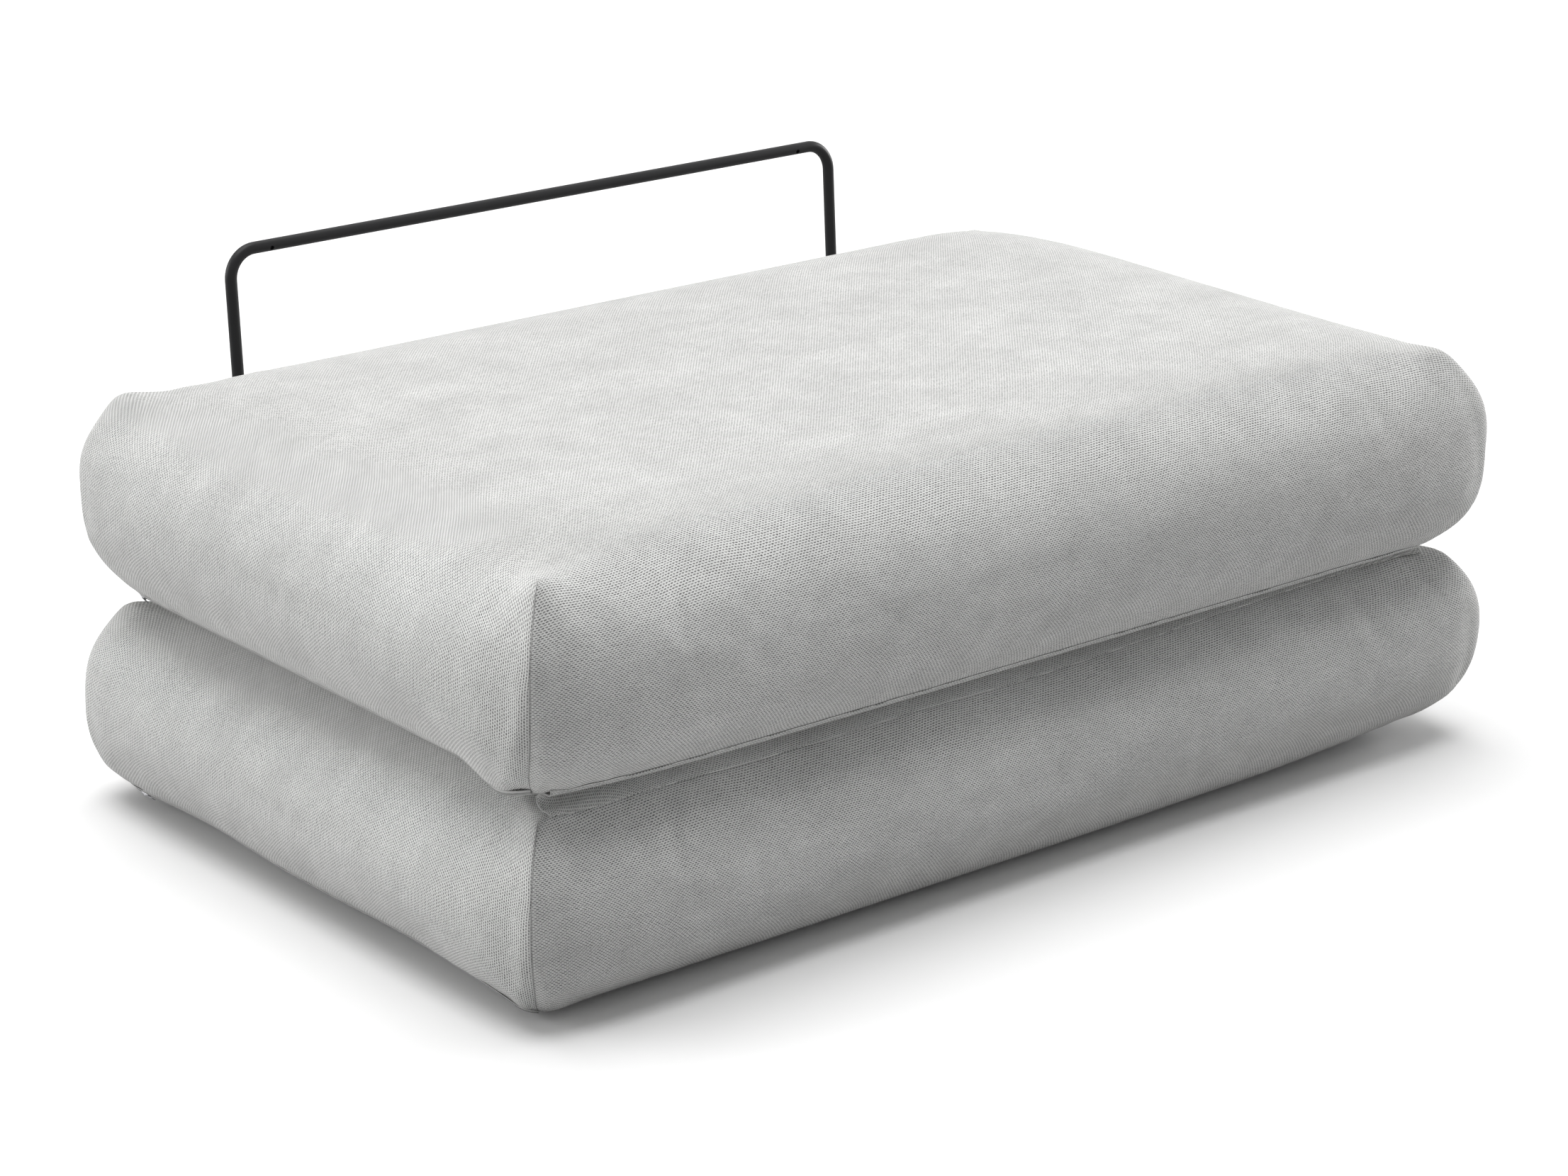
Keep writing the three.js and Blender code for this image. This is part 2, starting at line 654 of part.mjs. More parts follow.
for (const [name, side] of hoopSides) {
  const x = side * half;
  add(`${name}_runner`, runnerGeometry(), blackSteel).position.set(x, 0, barBottom);

  const screw = add(`${name}_hoop_screw`, screwGeometry(), plated);
  const place = new THREE.Vector3(x, 0, screwHeight).applyAxisAngle(new THREE.Vector3(1, 0, 0), -lean);
  screw.position.copy(place).add(new THREE.Vector3(0, footY, footZ));
  screw.rotation.x = -lean;

  const grip = new THREE.ExtrudeGeometry(roundedBar(gripLength, gripWidth, gripWidth / 5), {
    depth: gripThickness, bevelEnabled: false, curveSegments: 3,
  });
  add(`${name}_grip_pad`, grip, blackPlastic).position.set(x, gripFront, gripBottom);

  // a cap over the bar's front end
  const capShape = roundedBar(capLength + capWall, barWidth + 2 * (capWall + touch), barCorner + capWall);
  const capSolid = new THREE.ExtrudeGeometry(capShape, {
    depth: barThickness + 2 * (capWall + touch), bevelEnabled: false, curveSegments: 3,
  });
  const capSlot = new THREE.ExtrudeGeometry(
    roundedBar(capLength + overrun + barCorner, barWidth + 2 * touch, barCorner),
    { depth: barThickness + 2 * touch, bevelEnabled: false, curveSegments: 3 },
  ).translate(0, capWall, capWall);
  add(`${name}_bar_cap`, cut(capSolid, capSlot), blackPlastic)
    .position.set(x, barFront - capWall - touch, barBottom - capWall - touch);

  for (const [where, y] of glidePlaces) {
    const disc = new THREE.CylinderGeometry(glideDiameter / 2, glideDiameter / 2, glideHeight, tubeSides)
      .rotateX(Math.PI / 2);
    add(`${name}_${where}_glide`, disc, blackPlastic).position.set(x, y, glideHeight / 2);
  }
}

// The origin goes to the middle of the bottom of the whole.

model.updateMatrixWorld(true);
const box = new THREE.Box3().setFromObject(model, true);
const centre = box.getCenter(new THREE.Vector3());
model.position.set(-centre.x, -centre.y, -box.min.z);
model.updateMatrixWorld(true);

// The hinge line, for whoever drives the model: along X, where the two front sides meet when it opens.
model.userData.hinge = {
  y: -halfDepth - Math.max(fullestOut(lower), fullestOut(upper)) - hingeClearance - centre.y,
  z: (upperTop + openFloorClearance) / 2 - box.min.z,
  sliderTravel,
};
console.log('box', box.getSize(new THREE.Vector3()).toArray().map((v) => v.toFixed(3)).join(' '),
  'hinge y z', model.userData.hinge.y.toFixed(3), model.userData.hinge.z.toFixed(3),
  'foot y', (footY - centre.y).toFixed(3), 'centre y', centre.y.toFixed(3));

export default model;
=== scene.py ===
# %% [markdown]
# # A sofa bed: two stuffed mattresses and a bent tube hoop
#
# The object is a double mattress that folds in two. Both halves are foam in a loose knit cover, joined along
# the front edge by a hemmed flap, and a black steel hoop stands behind them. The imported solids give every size
# and place, so they are loaded first, and what is modelled here is laid over them in the same metres.

# %% The frame
import bpy
import bmesh
import math
from mathutils import Matrix, Vector
from mathutils.bvhtree import BVHTree


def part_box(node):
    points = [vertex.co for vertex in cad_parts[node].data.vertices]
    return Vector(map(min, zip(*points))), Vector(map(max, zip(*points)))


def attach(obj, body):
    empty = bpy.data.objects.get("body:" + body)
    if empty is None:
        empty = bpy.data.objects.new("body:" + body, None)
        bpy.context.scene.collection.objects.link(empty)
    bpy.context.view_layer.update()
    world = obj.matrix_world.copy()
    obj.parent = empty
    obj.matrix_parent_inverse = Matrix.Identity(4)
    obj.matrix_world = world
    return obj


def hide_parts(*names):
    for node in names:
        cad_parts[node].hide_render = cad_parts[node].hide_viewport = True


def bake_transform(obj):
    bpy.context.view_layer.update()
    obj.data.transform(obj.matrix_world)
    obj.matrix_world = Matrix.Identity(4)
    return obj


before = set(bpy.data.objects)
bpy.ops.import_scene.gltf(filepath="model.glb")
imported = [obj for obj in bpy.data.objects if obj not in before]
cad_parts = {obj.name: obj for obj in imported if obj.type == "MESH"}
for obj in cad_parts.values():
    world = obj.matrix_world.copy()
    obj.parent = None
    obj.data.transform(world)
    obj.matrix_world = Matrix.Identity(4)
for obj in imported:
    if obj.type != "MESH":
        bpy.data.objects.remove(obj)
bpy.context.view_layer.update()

# %% [markdown]
# ## The camera
#
# The camera was worked out from the outlines of the mattresses. Its matrix is built from its right, up and
# forward directions, which is safer than three turns, where the order matters.

# %% Camera
YAW, PITCH, ROLL = math.radians(40.1825), math.radians(19.6212), math.radians(0.894)
CAMERA_PLACE = (-3.2938, -3.9025, 2.0579)
SENSOR, FOCAL_PIXELS, PHOTO_WIDTH = 36, 5788.13, 2212
forward = Vector((math.sin(YAW) * math.cos(PITCH), math.cos(YAW) * math.cos(PITCH), -math.sin(PITCH)))
level = Vector((math.cos(YAW), -math.sin(YAW), 0))
above = level.cross(forward)
right = math.cos(ROLL) * level + math.sin(ROLL) * above
up = math.cos(ROLL) * above - math.sin(ROLL) * level
camera = bpy.data.objects.new("photo_camera", bpy.data.cameras.new("photo_camera"))
camera.data.sensor_width = SENSOR
camera.data.lens = SENSOR * FOCAL_PIXELS / PHOTO_WIDTH
camera.data.clip_end = 100
camera.matrix_world = Matrix.Translation(CAMERA_PLACE) @ Matrix((right, up, -forward)).transposed().to_4x4()
bpy.context.collection.objects.link(camera)
bpy.context.scene.camera = camera
print("camera lens", round(camera.data.lens, 1), "mm")

# %% [markdown]
# ## A short way to write a finish
#
# Each finish is a Principled shader with a few procedural nodes in front of it. To add and join these one by
# one takes many lines, so a small class gives every kind of node a short name.

# %% Finish
class Finish:
    """A material, with a short way to add nodes to it and to join them."""

    def __init__(self, name, colour=(.8, .8, .8), roughness=.5, **sockets):
        self.material = bpy.data.materials.new(name)
        self.material.use_nodes = True
        self.tree = self.material.node_tree
        self.shader = self.tree.nodes["Principled BSDF"]
        self.shader.inputs["Base Color"].default_value = (*colour, 1)
        self.shader.inputs["Roughness"].default_value = roughness
        for socket, value in sockets.items():
            self.shader.inputs[socket.replace("_", " ")].default_value = value

    def join(self, value, socket):
        if hasattr(value, "is_output"):
            self.tree.links.new(value, socket)
        elif value is not None:
            socket.default_value = value

    def node(self, kind, *values, output=0, **settings):
        node = self.tree.nodes.new("ShaderNode" + kind)
        for setting, value in settings.items():
            setattr(node, setting, value)
        for socket, value in zip(node.inputs, values):
            self.join(value, socket)
        return node.outputs[output]

    def sum(self, operation, a, b=0., c=0.):
        return self.node("Math", a, b, c, operation=operation)

    def vector(self, operation, a, b=(0, 0, 0), output=0):
        return self.node("VectorMath", a, b, operation=operation, output=output)

    def split(self, value):
        return self.node("SeparateXYZ", value).node.outputs

    def noise(self, where, scale, detail=2., roughness=.5):
        return self.node("TexNoise", where, None, scale, detail, roughness)

    def range(self, value, low, high, out_low=0., out_high=1., smooth=False):
        kind = "SMOOTHSTEP" if smooth else "LINEAR"
        return self.node("MapRange", value, low, high, out_low, out_high, interpolation_type=kind)

    def mix(self, amount, a, b):
        node = self.tree.nodes.new("ShaderNodeMix")
        node.data_type = "RGBA"
        for socket, value in ((node.inputs[0], amount), (node.inputs[6], a), (node.inputs[7], b)):
            self.join((*value, 1) if isinstance(value, tuple) else value, socket)
        return node.outputs[2]

    def place(self):
        return self.node("TexCoord", output=3)

    def colour(self, value):
        self.join(value, self.shader.inputs["Base Color"])

    def rough(self, value):
        self.join(value, self.shader.inputs["Roughness"])

    def relief(self, height, distance, strength=1.):
        bump = self.node("Bump").node
        bump.inputs["Strength"].default_value = strength
        bump.inputs["Distance"].default_value = distance
        self.tree.links.new(height, bump.inputs["Height"])
        self.tree.links.new(bump.outputs[0], self.shader.inputs["Normal"])

# %% [markdown]
# ## Floor and light
#
# The photo is taken on a white sweep. A very large plane is the floor. Three broad suns and an even world light
# it: a sun is as strong far away as near, so the floor stays white up to the horizon. The top of the mattress
# is brightest, its left end next, and its front is in half shade, so one sun stands high, one shines on the
# left end, and one grazes along from the right. The camera sees the floor white, but it gives back only half as
# much light, because a full bounce makes the feet of the walls too bright.

# %% Floor
FLOOR_HALF = 40
BOUNCED, SEEN = (.48, .48, .48), (1.09, 1.09, 1.09)
floor_shape = bmesh.new()
bmesh.ops.create_grid(floor_shape, x_segments=4, y_segments=4, size=FLOOR_HALF)
floor_mesh = bpy.data.meshes.new("floor")
floor_shape.to_mesh(floor_mesh)
floor_shape.free()
floor = bpy.data.objects.new("floor", floor_mesh)
bpy.context.collection.objects.link(floor)
paint = Finish("white_sweep", (.9, .9, .9), .7)
paint.colour(paint.mix(paint.node("LightPath"), BOUNCED, SEEN))
floor_mesh.materials.append(paint.material)
print("floor", 2 * FLOOR_HALF, "m wide")

# %% Suns
def sun(name, power, spread, direction):
    lamp = bpy.data.lights.new(name, "SUN")
    lamp.energy, lamp.angle = power, math.radians(spread)
    lamp_object = bpy.data.objects.new(name, lamp)
    lamp_object.rotation_euler = Vector(direction).to_track_quat("Z", "Y").to_euler()
    bpy.context.collection.objects.link(lamp_object)
    print(name, power, "over", spread, "degrees")

sun("top_light", 2.52, 54, (-.02, .14, 1.))
sun("left_light", 1.52, 40, (-1., .95, .28))
sun("right_light", 2.25, 36, (1., -.08, .15))

# %% [markdown]
# The world is white where the camera or a reflection sees it, and gives only a little light to everything else.
# A Light Path node tells the two apart.

# %% World
WORLD_LIGHT = .11
world = bpy.data.worlds.new("studio")
world.use_nodes = True
bpy.context.scene.world = world
bpy.context.scene.view_settings.view_transform = "Standard"
studio = world.node_tree
sky = studio.nodes["Background"]
sky.inputs["Color"].default_value = (1, 1, 1, 1)
rays = studio.nodes.new("ShaderNodeLightPath")
seen = studio.nodes.new("ShaderNodeMath")
seen.operation = "MAXIMUM"
studio.links.new(rays.outputs["Is Camera Ray"], seen.inputs[0])
studio.links.new(rays.outputs["Is Glossy Ray"], seen.inputs[1])
sky_level = studio.nodes.new("ShaderNodeMapRange")
sky_level.inputs["To Min"].default_value = WORLD_LIGHT
sky_level.inputs["To Max"].default_value = 1
studio.links.new(seen.outputs[0], sky_level.inputs["Value"])
studio.links.new(sky_level.outputs[0], sky.inputs["Strength"])
print("world light", WORLD_LIGHT)

# %% [markdown]
# ## The cover cloth
#
# The cloth is a coarse open weave: rows of small long holes, each row set half a hole along from the next. The
# cover's top and walls are one piece with only its four corners sewn, so the rows run on from the top down the
# walls. Each mattress carries the flat pattern of its cover as a UV map in metres. The holes, the lighter yarn
# and the fluff are worked out from that map, and the distance to a corner seam as well.

# %% Holes
HOLE_PITCH, ROW_PITCH = .0046, .0026
HOLE_LONG, HOLE_WIDE = .43, .31
WANDER, JITTER = (.010, .010, 0), (.0026, .0016, 0)
HALF = (.5, .5, .5)

def weave(knit, flat):
    """One on the yarn and nought in a hole. The rows wander a little, and each hole is out of true."""
    wander = knit.vector("SUBTRACT", knit.noise(flat, 9., 1.), HALF)
    jitter = knit.vector("SUBTRACT", knit.node("TexNoise", flat, None, 380., 2., output=1), HALF)
    bent = knit.vector("ADD", flat, knit.vector("MULTIPLY", wander, WANDER))
    bent = knit.vector("ADD", bent, knit.vector("MULTIPLY", jitter, JITTER))
    x, y, z = knit.split(bent)
    row = knit.sum("DIVIDE", y, ROW_PITCH)
    shift = knit.sum("MULTIPLY", knit.sum("FLOORED_MODULO", knit.sum("FLOOR", row), 2.), .5)
    hole = knit.sum("ADD", knit.sum("DIVIDE", x, HOLE_PITCH), shift)
    along = knit.sum("SUBTRACT", knit.sum("FRACT", hole), .5)
    across = knit.sum("SUBTRACT", knit.sum("FRACT", row), .5)
    far = knit.sum("SQRT", knit.sum("ADD", knit.sum("POWER", knit.sum("DIVIDE", along, HOLE_LONG), 2.),
                                    knit.sum("POWER", knit.sum("DIVIDE", across, HOLE_WIDE), 2.)))
    return knit.range(far, .40, 1.20, smooth=True)

# %% [markdown]
# The yarn isn't one flat grey. Broad clouds come from the dyeing, the nap lies this way or that, fine streaks
# follow the yarn, and the fluff catches light. Each is a noise of its own scale, and the nap and the streaks are
# stretched along the rows.

# %% Nap
NAP_STRETCH, STREAK_STRETCH = (5., 11., 1.), (35., 260., 1.)

def lightness(knit, flat, fluff):
    """How light the cloth is at a point, about one."""
    cloud = knit.noise(flat, 22., 4., .6)
    nap = knit.noise(knit.vector("MULTIPLY", flat, NAP_STRETCH), 1., 3., .55)
    streak = knit.noise(knit.vector("MULTIPLY", flat, STREAK_STRETCH), 1., 3., .6)
    tone = knit.sum("ADD", knit.range(cloud, .3, .7, .945, 1.055), knit.range(streak, .3, .7, -.03, .03))
    tone = knit.sum("ADD", tone, knit.range(nap, .32, .68, -.055, .055))
    return knit.sum("MULTIPLY", tone, knit.range(fluff, .25, .75, .90, 1.10))

# %% [markdown]
# A sewn corner is a dark line, broken up as a row of stitches is. On the flat pattern the four seams start at
# the corners of the top, so the distance to the nearest one is worked out there.

# %% Corner seams
HALF_LENGTH, HALF_DEPTH = .750, .438
SEAM_CORE, SEAM_EDGE = .0003, .0018

def seam_line(knit, flat):
    """One on a corner seam and nought away from it."""
    inner = knit.vector("SUBTRACT", (HALF_LENGTH, HALF_DEPTH, 0), knit.vector("ABSOLUTE", flat))
    gap = knit.vector("LENGTH", knit.vector("MAXIMUM", inner, (0, 0, 0)), output=1)
    line = knit.range(gap, SEAM_CORE, SEAM_EDGE, 1., 0., smooth=True)
    needle = knit.noise(flat, 260., 1.)
    return knit.sum("MULTIPLY", line, knit.range(needle, .35, .65, .55, 1.))

# %% [markdown]
# When the bed unfolds, the flap between the mattresses rolls open about the hinge. To keep its grain even, what
# a point has turned since the rest pose is added to its place on the flat pattern. The turn at rest is kept in a
# second UV map, and the turn now is measured on Object coordinates, so at rest nothing is added.

# %% Grain of a turning cloth
def turned_since_rest(knit, axle):
    """A step along the cut, in metres, for a cloth that turns about a line along x at the axle's y and z."""
    y, z, reach = axle
    spot = knit.split(knit.place())
    behind, above = knit.sum("SUBTRACT", spot[1], y), knit.sum("SUBTRACT", spot[2], z)
    turned = knit.sum("MULTIPLY", knit.sum("ARCTAN2", behind, above), reach)
    at_rest = knit.node("UVMap", uv_map="turned_at_rest")
    return knit.vector("SUBTRACT", knit.node("CombineXYZ", 0., turned, 0.), at_rest)

# %% Cover cloth
HOLE_SHADE, YARN_LIGHT, SEAM_SHADE = (.130, .130, .127), (.860, .858, .846), (.20, .20, .198)
HOLE_DEPTH, SEAM_SHARE = .72, .60
FLUFF_RISE, SEAM_SINK, RELIEF = .45, 1.5, .0009

def cloth(name, seams=True, axle=None):
    """The knit of the covers on a UV map in metres. seams draws the four sewn corners of a cover."""
    knit = Finish(name, roughness=.92, Sheen_Weight=.12, Sheen_Roughness=.6, Specular_IOR_Level=.2)
    flat = knit.node("UVMap", uv_map="cut")
    if axle:
        flat = knit.vector("ADD", flat, turned_since_rest(knit, axle))
    yarn = weave(knit, flat)
    fluff = knit.noise(flat, 900., 3., .7)
    tone = lightness(knit, flat, fluff)
    open_hole = knit.range(knit.noise(flat, 150., 2., .6), .30, .66, .28, HOLE_DEPTH)
    filled = knit.sum("MAXIMUM", yarn, knit.sum("SUBTRACT", HOLE_DEPTH, open_hole))
    colour = knit.mix(filled, HOLE_SHADE, YARN_LIGHT)
    colour = knit.vector("MULTIPLY", colour, knit.node("CombineXYZ", tone, tone, tone))
    height = knit.sum("ADD", yarn, knit.sum("MULTIPLY", fluff, FLUFF_RISE))
    if seams:
        line = seam_line(knit, flat)
        colour = knit.mix(knit.sum("MULTIPLY", line, SEAM_SHARE), colour, SEAM_SHADE)
        height = knit.sum("SUBTRACT", height, knit.sum("MULTIPLY", line, SEAM_SINK))
    knit.colour(colour)
    knit.relief(height, RELIEF, .55)
    print(name, "has", len(knit.tree.nodes), "nodes")
    return knit.material

cover_cloth = cloth("cover_knit")

# %% [markdown]
# ## Shape of a stuffed mattress
#
# Each cover is a box whose walls bow out between the four sewn corners, while the edges draw in a little
# between them. A cube is cut into a fine net, and each point of the net is moved to its place on that form.
# The form is worked out from a few measured sizes: how far a wall bows at its middle and at the corner seam,
# and over which length an edge eases from a corner into its straight run.

# %% Sizes of the form
MIDDLE = -.0308  # y of the middle of both mattresses
SIDE_BOW, CORNER_BOW, BOW_POWER = .065, .043, 2.75
DRAW, EASE, EASE_POWER = .031, .190, 2.5  # how far an edge draws in, and over which length
PLUMP, PLUMP_REACH, PLUMP_FADE = .0065, .028, .15  # the fuller place beside a corner seam
TOP_POWER = 6
ON_SIDE = .9999  # a point further out than this is on a side of the cube

def ease(gap):
    return 1 - (1 - min(max(gap / EASE, 0), 1)) ** EASE_POWER

def bow(s):
    return 1 - abs(2 * s - 1) ** BOW_POWER

# %% [markdown]
# The two mattresses differ a little. Both have pulls, where the stuffing has settled or a corner is drawn: each
# has its place on the cube, how far it moves the cloth in metres, and its reach.

# %% Lower and upper form
LOWER = dict(bottom=.0127, wall=.2490, crown=.0186, rise=0., droop=0., chin=.036, pulls=[
    ((-1, -1, -1), (0, .006, -.007), .055),
    ((1, -1, -1), (-.004, .006, .012), .200),
    ((-1, .55, -1), (0, 0, .006), .120),
    ((-1, -.45, -1), (0, 0, .007), .150),
    ((-1, -1, 1), (0, .002, -.010), .090),
    ((-.5, -1, 1), (0, .003, -.006), .160),
    ((.1, -1, 1), (0, .003, -.006), .250),
    ((1, -1, -.1), (.013, -.009, 0), .190),
    ((-1, 1, -.7), (-.007, .004, 0), .110),
    ((-1, 1, 1), (0, 0, .007), .032)])
UPPER = dict(bottom=.2840, wall=.2530, crown=.0280, rise=.0116, droop=.011, chin=.062, pulls=[
    ((-1, -1, -1), (-.009, .007, -.002), .075),
    ((-1, -.86, -1), (-.003, -.003, -.013), .048),
    ((1, -1, -1), (.014, -.011, -.003), .110),
    ((1, 1, 1), (-.038, .010, -.010), .130),
    ((-1, -1, 1), (-.004, -.004, .008), .034),
    ((-1, 1, 1), (-.001, .001, .009), .034),
    ((1, -1, 1), (-.002, .002, .005), .034),
    ((-.86, -1, 1), (0, -.016, -.006), .075),
    ((-1, -.80, 1), (-.008, 0, -.003), .060)])

# %% Walls and top
def wall_point(form, along, half_run, half_across, s):
    """A point on a wall: how far along its run, how far out, and how high. along is from -1 to 1."""
    gap = (1 - abs(along)) * half_run
    easing = ease(gap)
    out = half_across - DRAW * easing * s ** 3 + (CORNER_BOW + (SIDE_BOW - CORNER_BOW) * easing) * bow(s)
    plump = PLUMP * math.exp(-gap / PLUMP_FADE) * (1 - math.exp(-gap / PLUMP_REACH))
    out += plump * min(4 * s * (1.25 - s), 1)
    height = form["bottom"] + s * (form["wall"] + form["rise"] * easing)
    return along * (half_run + CORNER_BOW * bow(s) * along ** 2), out, height

def top_point(form, u, v):
    end, side = ease((1 - abs(u)) * HALF_LENGTH), ease((1 - abs(v)) * HALF_DEPTH)
    height = form["bottom"] + form["wall"] + form["crown"] * end * side
    height += form["rise"] * (end * (1 - side) + side * (1 - end))
    x = u * (HALF_LENGTH - DRAW * side * abs(u) ** TOP_POWER)
    y = v * (HALF_DEPTH - DRAW * end * abs(v) ** TOP_POWER)
    return x, y, height

def form_point(form, cube):
    """The place of one point of the cube's net, whose corners are at plus and minus one."""
    u, v, w = cube
    s = (w + 1) / 2
    if abs(v) > ON_SIDE:
        along, out, height = wall_point(form, u, HALF_LENGTH, HALF_DEPTH, s)
        point = (along, math.copysign(out, v), height)
    elif abs(u) > ON_SIDE:
        along, out, height = wall_point(form, v, HALF_DEPTH, HALF_LENGTH, s)
        point = (math.copysign(out, u), along, height)
    elif w > 0:
        point = top_point(form, u, v)
    else:
        point = (u * HALF_LENGTH, v * HALF_DEPTH, form["bottom"])
    return Vector(point) + Vector((0, MIDDLE, 0))

for form in (LOWER, UPPER):
    form["centres"] = [form_point(form, place) for place, move, reach in form["pulls"]]
print("a wall bows out", round(form_point(LOWER, (1, 0, 0)).x - HALF_LENGTH, 3), "m in its middle")

# %% [markdown]
# At rest the cloth hangs a little. The front edge of the upper mattress droops, the foot of each wall rounds
# under in plan towards the corners, and the pulls do the rest.

# %% The form at rest
DROOP_BACK, DROOP_UP, DROOP_ENDS = .045, .090, 8
CHIN_POWER, PULL_ENDS = 2.5, 2.6

def resting_point(form, cube):
    """The form as it rests: the front edge droops, and the stuffing has settled in places."""
    point = form_point(form, cube)
    front = (1 + cube[1]) * HALF_DEPTH / DROOP_BACK
    low = (point.z - form["bottom"]) / DROOP_UP
    point.z -= form["droop"] * math.exp(-front * front - low * low) * (1 - abs(cube[0]) ** DROOP_ENDS)
    height = min(max(low * DROOP_UP / form["wall"], 0), 1)
    radius = form["chin"] * (1 - height) ** CHIN_POWER
    out = CORNER_BOW * bow(height)
    deep = Vector((radius - HALF_LENGTH - out + abs(point.x),
                   radius - HALF_DEPTH - out + abs(point.y - MIDDLE)))
    if min(deep) > 0:
        rounded = deep * max(deep) / deep.length
        point.x += math.copysign(1, point.x) * (rounded.x - deep.x)
        point.y += math.copysign(1, point.y - MIDDLE) * (rounded.y - deep.y)
    rest = point.copy()
    for centre, (place, move, reach) in zip(form["centres"], form["pulls"]):
        away = (rest - centre).length / reach
        if away < PULL_ENDS:
            point += Vector(move) * math.exp(-away * away)
    return point

# %% [markdown]
# The net is a cube whose edges are cut as often as the real length needs, with the grid filled in between. Each
# face gets its place on the flat pattern: the top as it lies, and the walls folded out from it. The four sewn
# corners get a crease, so that the last subdivision keeps them sharp.

# %% Net of a cover
WALL_CUT, WALL_SPARE = .300, .03
NET = .012
SEAM_CREASE = .75

def at_seam(cube):
    return min(abs(cube[0]), abs(cube[1])) > ON_SIDE

def cover_net(form, step=NET):
    """A cube's net on the form, with the flat cut of the cover as its UV map."""
    net = bmesh.new()
    bmesh.ops.create_cube(net, size=2)
    for axis, length in ((0, 2 * HALF_LENGTH), (1, 2 * HALF_DEPTH), (2, form["wall"] + WALL_SPARE)):
        run = [edge for edge in net.edges if abs(edge.verts[0].co[axis] - edge.verts[1].co[axis]) > 1]
        bmesh.ops.subdivide_edges(net, edges=run, cuts=round(length / step) - 1, use_grid_fill=True)
    cut = net.loops.layers.uv.new("cut")
    sewn = net.edges.layers.float.new("crease_edge")
    for edge in net.edges:
        if all(at_seam(vert.co) for vert in edge.verts):
            edge[sewn] = SEAM_CREASE
    for face in net.faces:
        out = face.calc_center_median()
        side = max(range(3), key=lambda axis: abs(out[axis]))
        for loop in face.loops:
            u, v, w = loop.vert.co
            down = (1 - w) / 2 * WALL_CUT
            across, deep = u * HALF_LENGTH, v * HALF_DEPTH
            if side == 0:
                across += math.copysign(down, u)
            elif side == 1:
                deep += math.copysign(down, v)
            loop[cut].uv = (across, deep)
    cubes = {vert: vert.co.copy() for vert in net.verts}
    for vert in net.verts:
        vert.co = resting_point(form, cubes[vert])
    return net, cubes

# %% [markdown]
# The top edge has no seam, so it is round. Smoothing the net there rolls it over. Every pass leaves out a larger
# part around the corners, whose ears then stay sharp and blend into the round edge.

# %% Round top edge
EAR_REACH, EAR_STEP, ROLLS_ABOVE = .026, .011, .2

def smooth(net, verts):
    bmesh.ops.smooth_vert(net, verts=verts, factor=.5, use_axis_x=True, use_axis_y=True, use_axis_z=True)

def soften(net, cubes, passes=14):
    """Rolls the top edge over, which has no seam, and leaves the ears at its ends sharp."""
    for turn in range(passes):
        reach = EAR_REACH + EAR_STEP * turn
        soft = []
        for vert in net.verts:
            u, v, w = cubes[vert]
            ear = math.hypot((1 - abs(u)) * HALF_LENGTH, (1 - abs(v)) * HALF_DEPTH)
            if w > ROLLS_ABOVE and not at_seam((u, v)) and ear > reach:
                soft.append(vert)
        smooth(net, soft)

# %% A finished piece
def finished(name, shape, body, material, *nodes, smooth_shaded=True):
    """Makes the object of a shape, gives it its material and lets it ride on its body."""
    mesh = bpy.data.meshes.new(name)
    shape.to_mesh(mesh)
    shape.free()
    mesh.materials.append(material)
    mesh.shade_smooth() if smooth_shaded else mesh.shade_flat()
    piece = bpy.data.objects.new(name, mesh)
    bpy.context.collection.objects.link(piece)
    if body:
        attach(piece, body)
    if nodes:
        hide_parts(*nodes)
    return piece

def thicken(piece, thickness):
    thick = piece.modifiers.new("thick", "SOLIDIFY")
    thick.thickness, thick.offset = thickness, 0

def refine(piece, levels):
    fine = piece.modifiers.new("fine", "SUBSURF")
    fine.levels = fine.render_levels = levels

def baked(piece):
    """The mesh of a piece with its modifiers worked in."""
    return bpy.data.meshes.new_from_object(piece.evaluated_get(bpy.context.evaluated_depsgraph_get()))

# %% [markdown]
# ## Stuffing
#
# Loose cloth over foam puckers between its seams, and such folds are hard to draw by hand. A cloth simulation
# blows the cover up for a few steps while its seams are held. The form already has its fullness, so only the
# folds are kept: what is left of the moves when their broad swelling is taken off.

# %% Swelling
SWELL_STEPS = 8

def swell(piece, held):
    """Runs the cloth for a few steps under pressure, with its seams held, and gives how far each point moved."""
    group = piece.vertex_groups.new(name="held")
    group.add([index for index, hold in enumerate(held) if hold], 1, "REPLACE")
    stuffing = piece.modifiers.new("stuffing", "CLOTH")
    settings = stuffing.settings
    settings.vertex_group_mass = "held"
    settings.quality, settings.mass, settings.air_damping = 4, .3, 4
    settings.tension_stiffness = settings.compression_stiffness = 15
    settings.shear_stiffness, settings.bending_stiffness = 5, .05
    settings.use_pressure, settings.uniform_pressure_force = True, 1
    settings.shrink_min = -.02
    settings.effector_weights.gravity = 0
    stuffing.point_cache.frame_start, stuffing.point_cache.frame_end = 1, SWELL_STEPS
    for step in range(1, SWELL_STEPS + 1):
        bpy.context.scene.frame_set(step)
    blown = piece.evaluated_get(bpy.context.evaluated_depsgraph_get())
    moves = [after.co - before.co for after, before in zip(blown.data.vertices, piece.data.vertices)]
    piece.modifiers.remove(stuffing)
    piece.vertex_groups.clear()
    bpy.context.scene.frame_set(1)
    return moves

# %% Folds
PUCKER_CAP = .0050
FOLD_SHARE, CORNER_SHARE, CORNER_REACH, WALL_HALF = .25, .9, .110, .125

